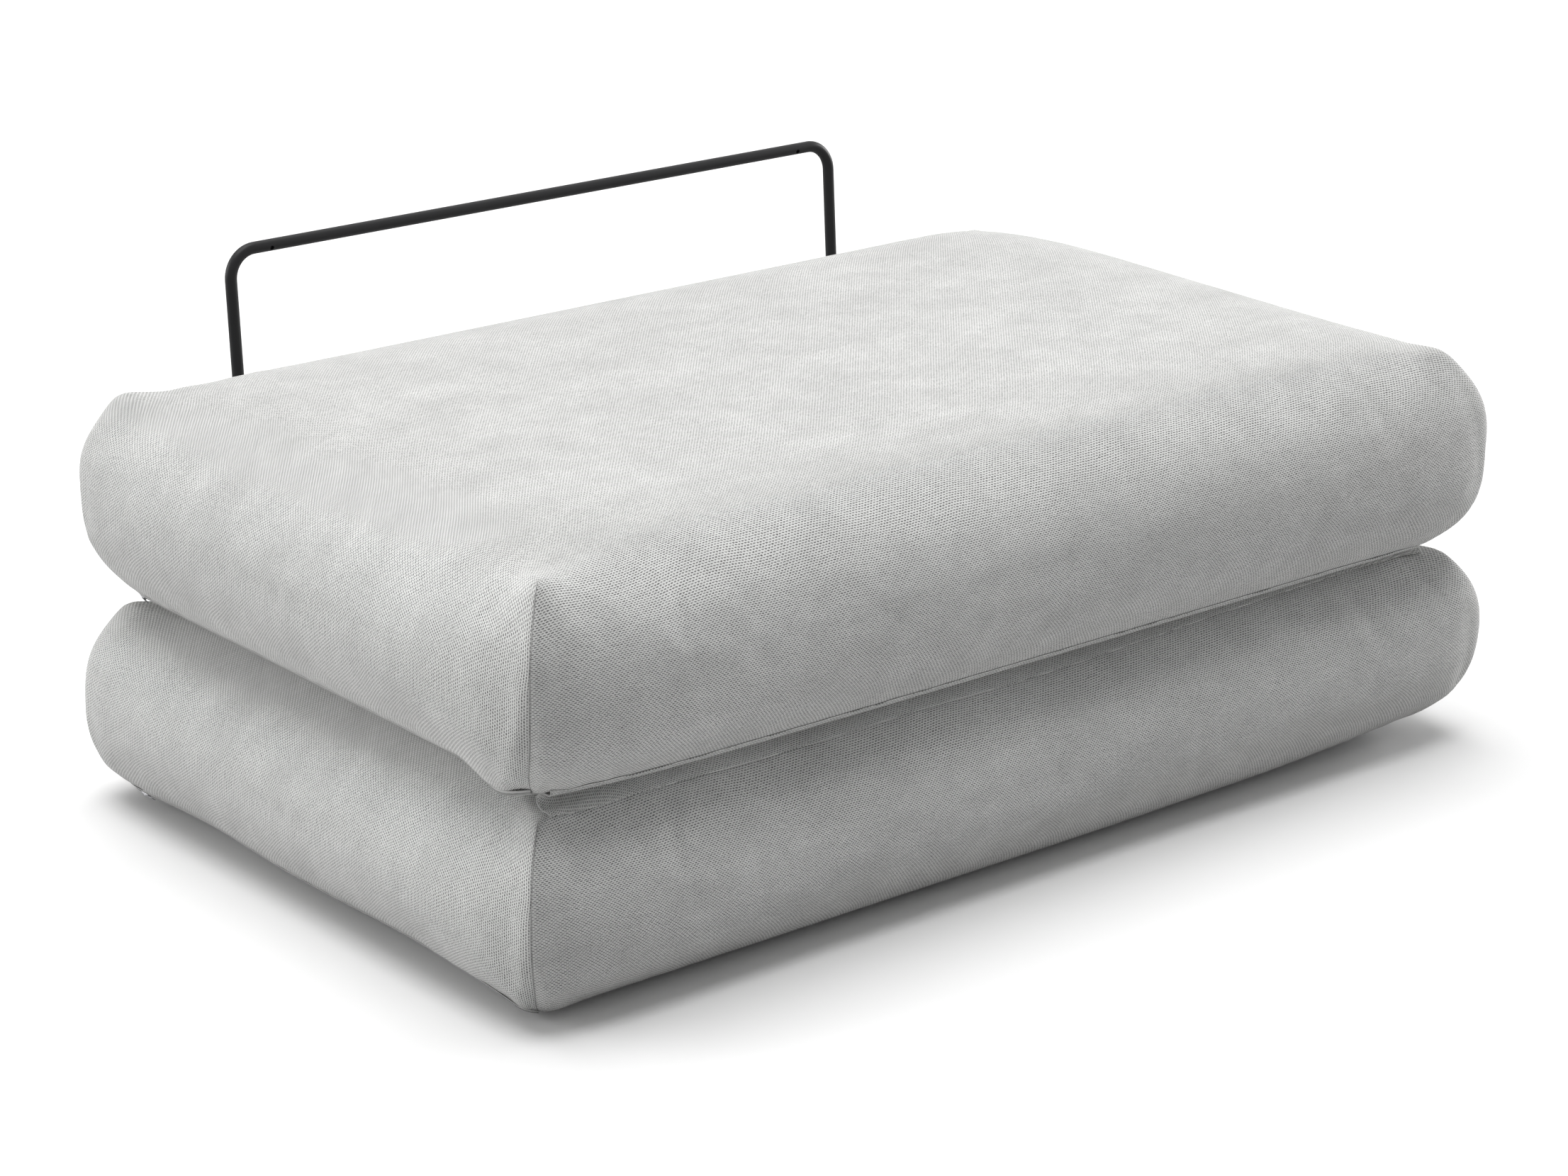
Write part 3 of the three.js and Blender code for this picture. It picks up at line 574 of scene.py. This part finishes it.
def puckers(piece, moves, passes=10):
    """What is left of the moves when their average round about is taken off: the folds without the swelling."""
    near = [[] for move in moves]
    for edge in piece.data.edges:
        first, second = edge.vertices
        near[first].append(second)
        near[second].append(first)
    broad = moves
    for turn in range(passes):
        broad = [(move + sum((broad[other] for other in others), Vector()) / len(others)) / 2
                 for move, others in zip(broad, near)]
    return [move - wide for move, wide in zip(moves, broad)]

def add_folds(piece, form, places, folds):
    """Lays the folds over a cover, most near the foot of its corners. The lower one's top stays flat."""
    for vert, place, fold in zip(piece.data.vertices, places, folds):
        if form is UPPER or place.z < ON_SIDE:
            across, deep = (1 - abs(place.x)) * HALF_LENGTH, (1 - abs(place.y)) * HALF_DEPTH
            corner = Vector((across, deep, (1 + place.z) * WALL_HALF))
            share = FOLD_SHARE + CORNER_SHARE * math.exp(-(corner.length / CORNER_REACH) ** 2)
            vert.co += fold * share * min(1, PUCKER_CAP / max(fold.length, 1e-6))

# %% [markdown]
# At the near foot corner of the lower cover the photo shows two folds on each side of the seam. They are placed
# one by one: a groove with a low ridge beside it, pressed into the net along a line, from the seam outwards.

# %% Creases
CREASES = [  # start, end, depth and width
    ((-.765, -.470, .079), (-.772, -.425, .095), .0034, .0060),
    ((-.763, -.456, .060), (-.772, -.415, .077), .0030, .0060),
    ((-.763, -.474, .087), (-.742, -.480, .064), .0026, .0055),
    ((-.761, -.473, .059), (-.738, -.477, .037), .0024, .0055)]

CREASE_ENDS, CREASE_SIDES, CREASE_FADE = .3, 3, .6
RIDGE, RIDGE_AT = .625, 1.3  # how high the ridge is, for a groove of one, and where, in widths from the line

def crease(net, first, last, depth, width):
    """Presses a fold into the net along a line, deepest at the seam end and fading out at the other."""
    first, last = Vector(first), Vector(last)
    line = last - first
    net.normal_update()
    moves = {}
    for vert in net.verts:
        along = (vert.co - first).dot(line) / line.length_squared
        if -CREASE_ENDS < along < 1 + CREASE_ENDS:
            away = (vert.co - first - line * min(max(along, 0), 1)).length / width
            if away < CREASE_SIDES:
                fade = 1 - CREASE_FADE * min(max(along, 0), 1)
                fold = RIDGE * math.exp(-(away - RIDGE_AT) ** 2) - math.exp(-away * away)
                moves[vert] = vert.normal * depth * fade * fold
    for vert, move in moves.items():
        vert.co += move

# %% Covers
def cover(name, form, body, node):
    net, cubes = cover_net(form)
    soften(net, cubes)
    if form is LOWER:
        for line in CREASES:
            crease(net, *line)
    places = [cubes[vert] for vert in net.verts]
    piece = finished(name, net, None, cover_cloth)
    held = [place.z < -ON_SIDE or at_seam(place) for place in places]
    folds = puckers(piece, swell(piece, held))
    print(name, "deepest fold", round(max(fold.length for fold in folds) * 1000, 1), "mm")
    add_folds(piece, form, places, folds)
    refine(piece, 1)
    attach(piece, body)
    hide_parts(node)
    print(name, len(piece.data.polygons), "faces")
    return piece

lower_cover = cover("lower_mattress_cover", LOWER, "base", "lower_cover")
upper_cover = cover("upper_mattress_cover", UPPER, "upper_mattress", "upper_cover")

# %% [markdown]
# ## Inside a mattress
#
# Under the cover lies a wrap of fluffy wadding, and under that the foam block. Both have the cover's form, a
# little smaller. The same net with wider steps is drawn in along its normals, which keeps an even distance.

# %% Wadding and foam
INNER_NET = .030
WADDING_DEPTH, FOAM_DEPTH = .010, .026
wadding_fluff = Finish("wadding_fluff", roughness=1., Sheen_Weight=.3)
tuft = wadding_fluff.noise(wadding_fluff.place(), 60., 5., .7)
wadding_fluff.colour(wadding_fluff.mix(tuft, (.70, .70, .69), (.86, .86, .85)))
wadding_fluff.relief(tuft, .003, .6)
foam_cells = Finish("foam_cells", roughness=.95)
cells = foam_cells.node("TexVoronoi", foam_cells.place(), None, 900., feature="F1")
foam_cells.colour(foam_cells.mix(cells, (.60, .55, .38), (.80, .76, .58)))
foam_cells.relief(cells, .0006, .5)

def inside(name, form, body, node, depth, finish):
    net, cubes = cover_net(form, INNER_NET)
    soften(net, cubes, 5)
    net.normal_update()
    for vert in net.verts:
        vert.co -= vert.normal * depth
    smooth(net, net.verts)
    piece = finished(name, net, body, finish.material, node)
    print(name, "lies", depth * 1000, "mm under the cover")

inside("lower_wadding_wrap", LOWER, "base", "lower_wadding", WADDING_DEPTH, wadding_fluff)
inside("upper_wadding_wrap", UPPER, "upper_mattress", "upper_wadding", WADDING_DEPTH, wadding_fluff)
inside("lower_foam_block", LOWER, "base", "lower_foam_core", FOAM_DEPTH, foam_cells)
inside("upper_foam_block", UPPER, "upper_mattress", "upper_foam_core", FOAM_DEPTH, foam_cells)

# %% [markdown]
# ## Base cloths
#
# A firm grey cloth closes each cover from below. It is sewn to the foot of the walls all round, so its rim
# follows the resting edge of the cover. A flat grid takes that rim from the form and gets its thickness last.

# %% Base cloths
RIM_LONG, RIM_DEEP, RIM_SINK = .984, .974, .0004
base_felt = Finish("base_felt", roughness=.95, Sheen_Weight=.2)
fibre = base_felt.noise(base_felt.vector("MULTIPLY", base_felt.place(), (1., 1., .2)), 700., 4., .7)
base_felt.colour(base_felt.mix(fibre, (.36, .36, .355), (.56, .56, .55)))
base_felt.relief(fibre, .0006, .5)

def base_cloth(name, form, body, node):
    low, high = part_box(node)
    sheet = bmesh.new()
    bmesh.ops.create_grid(sheet, x_segments=100, y_segments=60, size=1)
    for vert in sheet.verts:
        rest = resting_point(form, (vert.co.x * RIM_LONG, vert.co.y * RIM_DEEP, -1))
        vert.co = rest + Vector((0, 0, high.z - form["bottom"] - RIM_SINK))
    bmesh.ops.solidify(sheet, geom=sheet.faces[:], thickness=high.z - low.z)
    bmesh.ops.recalc_face_normals(sheet, faces=sheet.faces)
    piece = finished(name, sheet, body, base_felt.material, node)
    print(name, "is", round((high.z - low.z) * 1000, 1), "mm thick")

base_cloth("lower_base_cloth", LOWER, "base", "lower_base_panel")
base_cloth("upper_base_cloth", UPPER, "upper_mattress", "upper_base_panel")

# %% [markdown]
# ## The hinge flap
#
# A long strip of the cover cloth joins the two mattresses along the front. It starts at a stitched hem at the
# foot of the upper wall, turns under it, folds back deeper in the middle than at its ends, comes out again on
# the lower mattress and ends in a second stitched hem over its front edge. A grid is laid along that line,
# station by station, and then lifted off the covers wherever they swell.

# %% Keeping clear of the covers
def skin(piece):
    graph = bpy.context.evaluated_depsgraph_get()
    return BVHTree.FromObject(piece, graph)

skins = [skin(lower_cover), skin(upper_cover)]

def clear(point, lift):
    """The point, moved off the covers until it is at least lift away from them."""
    for turn in range(2):
        for tree in skins:
            spot, normal, face, away = tree.find_nearest(point)
            side = (point - spot).dot(normal)
            if side < lift:
                point = spot + normal * lift
    return point

# %% Cut of the flap
END_FREE, END_REACH = .018, .050  # how near a corner the cut becomes that of the flap's end
FOLD_LEAST, FOLD_MORE, FOLD_FREE = .026, .050, .02  # how deep it folds back at its ends, and more in the middle
BAND, BAND_MORE = .034, .016  # the upper hem, as a share of the wall, and how much more at the ends
FOOT, FOOT_END, FOOT_RIGHT = .0135, .0120, .0095  # how far the lower hem comes down, less at its ends
LOWER_HEM = (.0125, .0082, .0056, .0028, 0)  # its points, above that foot
END_CUT = [(-.4618, .2922), (-.4630, .2886), (-.4640, .2840), (-.4650, .2788),
           (-.4606, .2771), (-.4530, .2778), (-.4440, .2752), (-.4372, .2680),
           (-.4380, .2612), (-.4420, .2574), (-.4475, .2546), (-.4512, .2532),
           (-.4545, .2522), (-.4570, .2514), (-.4592, .2506), (-.4612, .2499)]  # y and z at the flap's ends

def lower_edge(u, down):
    """A point near the top front edge of the lower mattress: down the wall, or inwards when down is negative."""
    if down >= 0:
        return resting_point(LOWER, (u, -1, 1 - 2 * down / LOWER["wall"]))
    return resting_point(LOWER, (u, -1 - down / HALF_DEPTH, 1))

def flap_line(x):
    """The cut of the flap at x, from its upper hem to its lower hem."""
    u = x / HALF_LENGTH
    gap = (1 - abs(u)) * HALF_LENGTH
    end = math.exp(-max(gap - END_FREE, 0) / END_REACH)
    edge = resting_point(UPPER, (u, -1, -1))
    deep = FOLD_LEAST + FOLD_MORE * ease(gap - FOLD_FREE)
    band = BAND + BAND_MORE * end
    wall = [resting_point(UPPER, (u, -1, 2 * share * band - 1)) for share in (1, .66, .33)]
    under = [edge + Vector((0, -.0012, -.0012 - .0035 * end)), edge + Vector((0, .0035, -.0034 - .0030 * end)),
             edge + Vector((0, .4 * deep, -.0036)), edge + Vector((0, .8 * deep, -.0060))]
    foot = FOOT - FOOT_END * end - FOOT_RIGHT * max(u, 0)
    lowers = []
    for share in (.90, .60, .30):
        inwards = (foot - LOWER_HEM[0]) * (1 - share) - deep * share
        lowers.append(lower_edge(u, inwards) + Vector((0, 0, .0024 + .008 * share * end)))
    back = (under[-1] + lowers[0]) / 2 + Vector((0, .2 * deep, 0))
    cut = wall + under + [back] + lowers + [lower_edge(u, foot - above) for above in LOWER_HEM]
    return [Vector((x, point.y * (1 - end) + y * end, point.z * (1 - end) + z * end))
            for point, (y, z) in zip(cut, END_CUT)]

print("the flap's cut has", len(flap_line(0)), "points")

# %% [markdown]
# Each column of the grid is a station at its own x. The way along it from the upper hem goes into the flap's UV
# map, and gives the width to which the strip is cut.

# %% Grid of the flap
FLAP_END, STATIONS = .7293, 150
FLAP_LIFT, HEM_LIFT = .0012, .0023
HEM = (12, 13, 14, 15)
flap_net = bmesh.new()
cut_points = len(flap_line(0))
bmesh.ops.create_grid(flap_net, x_segments=STATIONS, y_segments=cut_points - 1, size=1)
stations, runs = [], []
for column in range(STATIONS + 1):
    points = flap_line((2 * column / STATIONS - 1) * FLAP_END)
    station = [clear(point, HEM_LIFT if index in HEM else FLAP_LIFT) for index, point in enumerate(points)]
    run = [0]
    for first, second in zip(station, station[1:]):
        run.append(run[-1] + (second - first).length)
    stations.append(station)
    runs.append(run)
flap_cut = flap_net.loops.layers.uv.new("cut")
flat_places = {}
for vert in flap_net.verts:
    column = round((vert.co.x + 1) / 2 * STATIONS)
    row = round((1 - vert.co.y) / 2 * (cut_points - 1))
    vert.co = stations[column][row]
    flat_places[vert] = (stations[column][row].x, runs[column][row])
for face in flap_net.faces:
    for loop in face.loops:
        loop[flap_cut].uv = flat_places[loop.vert]
flap_width = sum(run[-1] for run in runs) / (STATIONS + 1)
print("hinge flap", round(2 * FLAP_END, 3), "m long, cut", round(flap_width, 4), "m wide")

# %% [markdown]
# The flap gets its thickness and a fine mesh, and both are worked into its mesh at once. Then how far each
# point has turned about the hinge at rest is kept in a second UV map, which the flap's cloth reads.

# %% Thickness and turn of the flap
FLAP_THICK = .0018
AXLE_Y, AXLE_Z, AXLE_REACH = -.534, .2845, .066
STAYS, TURNS = (0, -.4704, .2663), (0, -.4725, .2770)
flap_knit = cloth("flap_knit", seams=False, axle=(AXLE_Y, AXLE_Z, AXLE_REACH))
flap = finished("hinge_flap_cloth", flap_net, None, flap_knit)
thicken(flap, FLAP_THICK)
refine(flap, 2)
dense = baked(flap)
flap.modifiers.clear()
flap.data = dense
at_rest = dense.uv_layers.new(name="turned_at_rest")
for loop in dense.loops:
    x, y, z = dense.vertices[loop.vertex_index].co
    at_rest.data[loop.index].uv = (0, math.atan2(y - AXLE_Y, z - AXLE_Z) * AXLE_REACH)
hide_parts("hinge_flap")
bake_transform(flap)
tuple(STAYS)
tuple(TURNS)
print("hinge flap", len(dense.polygons), "faces")

# %% [markdown]
# ## Topstitching
#
# The flap is topstitched: one row on the upper hem, and two rows, a presser foot apart, on the lower hem. A
# stitch is a small flattened bead, and the rows follow the flap's own stations. A whipped thread closes the
# flap's two cut ends.

# %% Thread
thread = Finish("sewing_thread", roughness=.8, Sheen_Weight=.2)
twist = thread.node("TexWave", thread.place(), 900., 2.)
thread.colour(thread.mix(twist, (.58, .58, .57), (.84, .84, .83)))
thread.relief(twist, .0002, .5)

def walk(points, pitch):
    """Steps along a line of points: the place at every pitch, and the turn that lays x along the line."""
    since = 0
    for first, second in zip(points, points[1:]):
        step = (second - first).length
        turn = (second - first).to_track_quat("X", "Z").to_matrix().to_4x4()
        while since < step:
            yield first.lerp(second, since / step), turn
            since += pitch
        since -= step

def bead(net, middle, turn, size, sides=6, rings=4):
    place = Matrix.Translation(middle) @ turn @ Matrix.Diagonal((*size, 1))
    bmesh.ops.create_uvsphere(net, u_segments=sides, v_segments=rings, radius=1, matrix=place)

# %% Whipped ends
WHIP, WHIP_PITCH = (.00104, .0013, .0013), .0019
beads = bmesh.new()
for station in (stations[0], stations[-1]):
    for spot, turn in walk(station, WHIP_PITCH):
        bead(beads, spot, turn, WHIP, sides=8, rings=6)
print("flap_end_overlock", len(beads.faces), "faces")
whipped = finished("flap_end_overlock", beads, None, thread.material)
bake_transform(whipped)
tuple(STAYS)
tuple(TURNS)

# %% Stitches
STITCH, STITCH_PITCH, STITCH_LIFT = (.0018, .0008, .0007), .0052, .0011

def topstitch(name, body, part):
    """A row of stitches along the flap. part says where across: a station's point and how far on to the next."""
    row = bmesh.new()
    index = int(part)
    line = [station[index].lerp(station[index + 1], part - index) for station in stations]
    for spot, turn in walk(line, STITCH_PITCH):
        bead(row, clear(spot, FLAP_LIFT + STITCH_LIFT), turn, STITCH)
    print(name, len(row.faces), "faces")
    finished(name, row, body, thread.material)

topstitch("upper_hem_stitches", "upper_mattress", .55)
topstitch("lower_hem_stitches_edge", "base", 14.5)
topstitch("lower_hem_stitches_inner", "base", 12.1)

# %% [markdown]
# ## The hoop
#
# The hoop is one round steel tube, bent twice. A circle at the left foot is drawn up, spun round the middle of
# each bend, and drawn on, so that the tube keeps its width in the bends. It is made flat first and then leant
# back. The two fixing holes are cut at the end.

# %% Hoop
TUBE, SPAN, TOP, BEND, LEAN = .016, 1.024, .665, .038, math.radians(4.5)
TUBE_SIDES, BEND_STEPS, MERGE = 32, 14, .00005
FOOT_Y = .4703
foot_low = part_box("back_hoop")[0]
rise = (TOP - foot_low.z) / math.cos(LEAN)
hoop_net = bmesh.new()
ring = bmesh.ops.create_circle(hoop_net, cap_ends=True, segments=TUBE_SIDES, radius=TUBE / 2)["verts"]
bmesh.ops.translate(hoop_net, verts=ring, vec=(-SPAN / 2, 0, 0))

def draw(faces, move):
    out = bmesh.ops.extrude_face_region(hoop_net, geom=faces)
    fresh = [item for item in out["geom"] if isinstance(item, bmesh.types.BMVert)]
    bmesh.ops.translate(hoop_net, verts=fresh, vec=move)
    return [item for item in out["geom"] if isinstance(item, bmesh.types.BMFace)]

def bend(faces, centre):
    edge = list({e for face in faces for e in face.edges}) + faces
    out = bmesh.ops.spin(hoop_net, geom=edge, cent=centre, axis=(0, 1, 0), angle=math.pi / 2, steps=BEND_STEPS,
                         use_merge=False)
    return [item for item in out["geom_last"] if isinstance(item, bmesh.types.BMFace)]

cap = draw(hoop_net.faces[:], (0, 0, rise - BEND))
cap = bend(cap, (-SPAN / 2 + BEND, 0, rise - BEND))
cap = draw(cap, (SPAN - 2 * BEND, 0, 0))
cap = bend(cap, (SPAN / 2 - BEND, 0, rise - BEND))
draw(cap, (0, 0, BEND - rise))

# %% [markdown]
# Spinning a face leaves the old one behind as a wall inside the tube. After the doubles are merged such a wall
# is a face whose edges all have more than two faces, and it is taken out. The outside is then closed.

# %% Closing and leaning the hoop
bmesh.ops.remove_doubles(hoop_net, verts=hoop_net.verts, dist=MERGE)
inner_walls = [face for face in hoop_net.faces if all(len(edge.link_faces) > 2 for edge in face.edges)]
bmesh.ops.delete(hoop_net, geom=inner_walls, context="FACES_ONLY")
bmesh.ops.recalc_face_normals(hoop_net, faces=hoop_net.faces)
print("hoop open edges", sum(not edge.is_manifold for edge in hoop_net.edges), "inner walls", len(inner_walls))
bmesh.ops.rotate(hoop_net, verts=hoop_net.verts, cent=(0, 0, 0), matrix=Matrix.Rotation(-LEAN, 3, "X"))
bmesh.ops.translate(hoop_net, verts=hoop_net.verts, vec=(0, FOOT_Y, foot_low.z))

# %% Powder coat
powder_coat = Finish("black_powder_coat", (.018, .018, .019), .42, Specular_IOR_Level=.22)
orange_peel = powder_coat.noise(powder_coat.place(), 650., 2.)
dull = powder_coat.noise(powder_coat.place(), 30., 3.)
powder_coat.rough(powder_coat.range(orange_peel, .3, .7, .36, .50))
powder_coat.colour(powder_coat.mix(dull, (.010, .010, .011), (.016, .016, .017)))
powder_coat.relief(orange_peel, .0003, .35)
hoop = finished("bent_tube_hoop", hoop_net, None, powder_coat.material)
hoop_low, hoop_high = Vector(hoop.bound_box[0]), Vector(hoop.bound_box[6])
print("hoop", [round(c * 1000, 1) for c in (*hoop_low, *hoop_high)])

# %% [markdown]
# The holes are drilled with the Boolean modifier: a thin drill is a cylinder of its own, and after the cut its
# object is taken away. The modifier is baked into the mesh at once. Only the Edge Split that keeps the rims of
# the holes and feet crisp stays live.

# %% Fixing holes
HOLE, HOLE_INSET, HOLE_DROP, DRILL_LENGTH = .006, .062, .0022, .010
CRISP_ANGLE = math.radians(35)
drill_net = bmesh.new()
for side in (-1, 1):
    front_y = FOOT_Y + rise * math.sin(LEAN) - TUBE / 2
    place = Matrix.Translation((side * (SPAN / 2 - HOLE_INSET), front_y, TOP - HOLE_DROP))
    bmesh.ops.create_cone(drill_net, cap_ends=True, segments=20, radius1=HOLE / 2, radius2=HOLE / 2,
                          depth=DRILL_LENGTH, matrix=place @ Matrix.Rotation(math.pi / 2 - LEAN, 4, "X"))
drill = finished("drill", drill_net, None, powder_coat.material)
cut = hoop.modifiers.new("cut", "BOOLEAN")
cut.object, cut.solver, cut.operation = drill, "EXACT", "DIFFERENCE"
drilled = baked(hoop)
hoop.modifiers.remove(cut)
hoop.data = drilled
bpy.data.objects.remove(drill)
drilled.shade_smooth()
crisp = hoop.modifiers.new("crisp", "EDGE_SPLIT")
crisp.split_angle = CRISP_ANGLE
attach(hoop, "base")
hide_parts("back_hoop")
print("hoop faces", len(drilled.polygons))

# %% [markdown]
# ## Zips and sliders
#
# A zip along the foot of the left end lets the foam be taken out. Its tape is woven in the colour of the
# cover, and its teeth are a coil, which from outside is a row of small bars. One bar is a flattened bead that
# is repeated every few millimetres.

# %% Zip finishes
zip_tape = Finish("zip_tape", roughness=.85, Sheen_Weight=.15)
herring = zip_tape.node("TexWave", zip_tape.node("UVMap", uv_map="cut"), 420., 3., bands_direction="DIAGONAL")
zip_tape.colour(zip_tape.mix(herring, (.56, .56, .553), (.74, .74, .73)))
zip_tape.relief(herring, .0003, .6)
coil_nylon = Finish("coil_nylon", roughness=.35)
coil_nylon.colour(coil_nylon.mix(coil_nylon.noise(coil_nylon.place(), 400.), (.40, .40, .395), (.52, .52, .51)))

# %% Zips
ZIP_INSET = .004
TAPE_LOW, TAPE_RISE, TAPE_LIFT = .004, .034, .0004  # low and rise are shares of the wall's height
TAPE_THICK, TAPE_HALF = .0007, .007
TOOTH_PITCH, TOOTH_LOW, TOOTH_HIGH, TOOTH_LIFT = .0024, .012, .026, .0010
TOOTH_THICK, TOOTH_WIDE = .0010, .0012

def zip_line(form, y, s, lift):
    """A point of the zip at the foot of the left end, at a distance off the wall. s is a share of the wall."""
    v = (y - MIDDLE) / HALF_DEPTH
    here = resting_point(form, (-1, v, 2 * s - 1))
    higher = resting_point(form, (-1, v, 2 * s - .96))
    out = (higher - here).cross(Vector((0, 1, 0))).normalized()
    if out.x > 0:
        out.negate()
    return clear(here + out * lift, lift)

def zip_closure(name, form, body, node):
    low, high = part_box(node)
    first, last = low.y + ZIP_INSET, high.y - ZIP_INSET
    tape = bmesh.new()
    bmesh.ops.create_grid(tape, x_segments=90, y_segments=4, size=1)
    flat = tape.loops.layers.uv.new("cut")
    for face in tape.faces:
        for loop in face.loops:
            loop[flat].uv = (loop.vert.co.x * (last - first) / 2, loop.vert.co.y * TAPE_HALF)
    for vert in tape.verts:
        y = first + (vert.co.x + 1) / 2 * (last - first)
        vert.co = zip_line(form, y, TAPE_LOW + TAPE_RISE * (vert.co.y + 1) / 2, TAPE_LIFT)
    tape_piece = finished(name + "_tape", tape, body, zip_tape.material, node)
    thicken(tape_piece, TAPE_THICK)
    coil = bmesh.new()
    count = round((last - first) / TOOTH_PITCH)
    for tooth in range(count):
        y = first + (tooth + .5) * TOOTH_PITCH
        foot, head = zip_line(form, y, TOOTH_LOW, TOOTH_LIFT), zip_line(form, y, TOOTH_HIGH, TOOTH_LIFT)
        turn = (head - foot).to_track_quat("X", "Y").to_matrix().to_4x4()
        bead(coil, (foot + head) / 2, turn, ((head - foot).length / 2, TOOTH_THICK, TOOTH_WIDE))
    coil_piece = finished(name + "_coil", coil, body, coil_nylon.material)
    print(name, "has", count, "teeth")

zip_closure("lower_zip_closure", LOWER, "base", "lower_zip")
zip_closure("upper_zip_closure", UPPER, "upper_mattress", "upper_zip")

# %% [markdown]
# A slider is a small die-cast shell, wide in front and narrow behind, with a bridge and a pull tab that lies back
# along the zip. All three are plain blocks, bevelled together at the origin and then turned to lie on the coil.

# %% Sliders
RIDE, RIDE_LOW, RIDE_HIGH, RIDE_LIFT, RIDE_STEP = .014, .006, .022, .0016, .004
SHELL, TAIL = (.0120, .0072, .0024), .62
BRIDGE, BRIDGE_PLACE = (.0070, .0016, .0014), (.001, 0, .0018)
TAB, TAB_PLACE, TAB_END = (.0160, .0046, .0009), (-.0095, 0, .0019), 1.25
slider_metal = Finish("slider_zinc", (.30, .30, .31), .40, Metallic=1.)
scuff = slider_metal.noise(slider_metal.place(), 900., 4., .7)
slider_metal.rough(slider_metal.range(scuff, .3, .7, .26, .48))
slider_metal.relief(scuff, .0001, .4)

def block(metal, size, middle=(0, 0, 0)):
    place = Matrix.Translation(middle) @ Matrix.Diagonal((*size, 1))
    return bmesh.ops.create_cube(metal, size=1, matrix=place)["verts"]

def slider(name, form, body, node):
    low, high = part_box(node)
    y = (low.y + high.y) / 2

    def spot(y, s):
        return zip_line(form, y, s, RIDE_LIFT)

    ahead = (spot(y + RIDE_STEP, RIDE) - spot(y - RIDE_STEP, RIDE)).normalized()
    upwards = (spot(y, RIDE_HIGH) - spot(y, RIDE_LOW)).normalized()
    out = ahead.cross(upwards).normalized()
    if out.x > 0:
        out.negate()
    place = Matrix.Translation(spot(y, RIDE)) @ Matrix((ahead, upwards, out)).transposed().to_4x4()
    metal = bmesh.new()
    for vert in block(metal, SHELL):
        if vert.co.x < 0:
            vert.co.y *= TAIL
    block(metal, BRIDGE, BRIDGE_PLACE)
    for vert in block(metal, TAB, TAB_PLACE):
        if vert.co.x < TAB_PLACE[0]:
            vert.co.y *= TAB_END
    bmesh.ops.bevel(metal, geom=metal.edges[:], offset=.0004, offset_type="OFFSET", affect="EDGES", segments=2,
                    profile=.5, material=-1)
    bmesh.ops.transform(metal, matrix=place, verts=metal.verts)
    bmesh.ops.recalc_face_normals(metal, faces=metal.faces)
    print(name, len(metal.faces), "faces")
    piece = finished(name, metal, body, slider_metal.material, node, smooth_shaded=False)

slider("lower_slider_and_tab", LOWER, "lower_slider", "lower_zip_slider")
slider("upper_slider_and_tab", UPPER, "upper_slider", "upper_zip_slider")

# %% [markdown]
# ## Finishes of the hard parts
#
# The runners, screws, caps, pads and glides keep their solids, which already have the right shape. They get
# their finishes here: black powder coat, bright zinc, and black rubber with a fine ribbed grain.

# %% Zinc and rubber
bright_zinc = Finish("bright_zinc", (.56, .57, .58), .3, Metallic=1.)
spangle = bright_zinc.noise(bright_zinc.place(), 1200., 3.)
bright_zinc.rough(bright_zinc.range(spangle, .3, .7, .22, .42))
bright_zinc.colour(bright_zinc.mix(spangle, (.48, .49, .50), (.62, .63, .64)))
ribbed_rubber = Finish("ribbed_rubber", (.025, .025, .026), .75)
ribs = ribbed_rubber.node("TexWave", ribbed_rubber.place(), 330., 0., bands_direction="Y")
dust = ribbed_rubber.noise(ribbed_rubber.place(), 300., 3.)
ribbed_rubber.colour(ribbed_rubber.mix(dust, (.020, .020, .021), (.036, .036, .037)))
ribbed_rubber.relief(ribs, .0004, .7)
glide_rubber = Finish("glide_rubber", (.03, .03, .03), .6)
grain = glide_rubber.noise(glide_rubber.place(), 800., 4.)
glide_rubber.colour(glide_rubber.mix(grain, (.022, .022, .022), (.042, .042, .041)))
glide_rubber.relief(grain, .0002, .5)

# %% Hard parts
PART_FINISHES = {"runner": powder_coat, "screw": bright_zinc, "grip": ribbed_rubber,
                 "glide": glide_rubber, "cap": glide_rubber}
for name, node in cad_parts.items():
    for word, finish in PART_FINISHES.items():
        if word in name:
            node.data.materials.clear()
            node.data.materials.append(finish.material)
            print(name, "gets", finish.material.name)
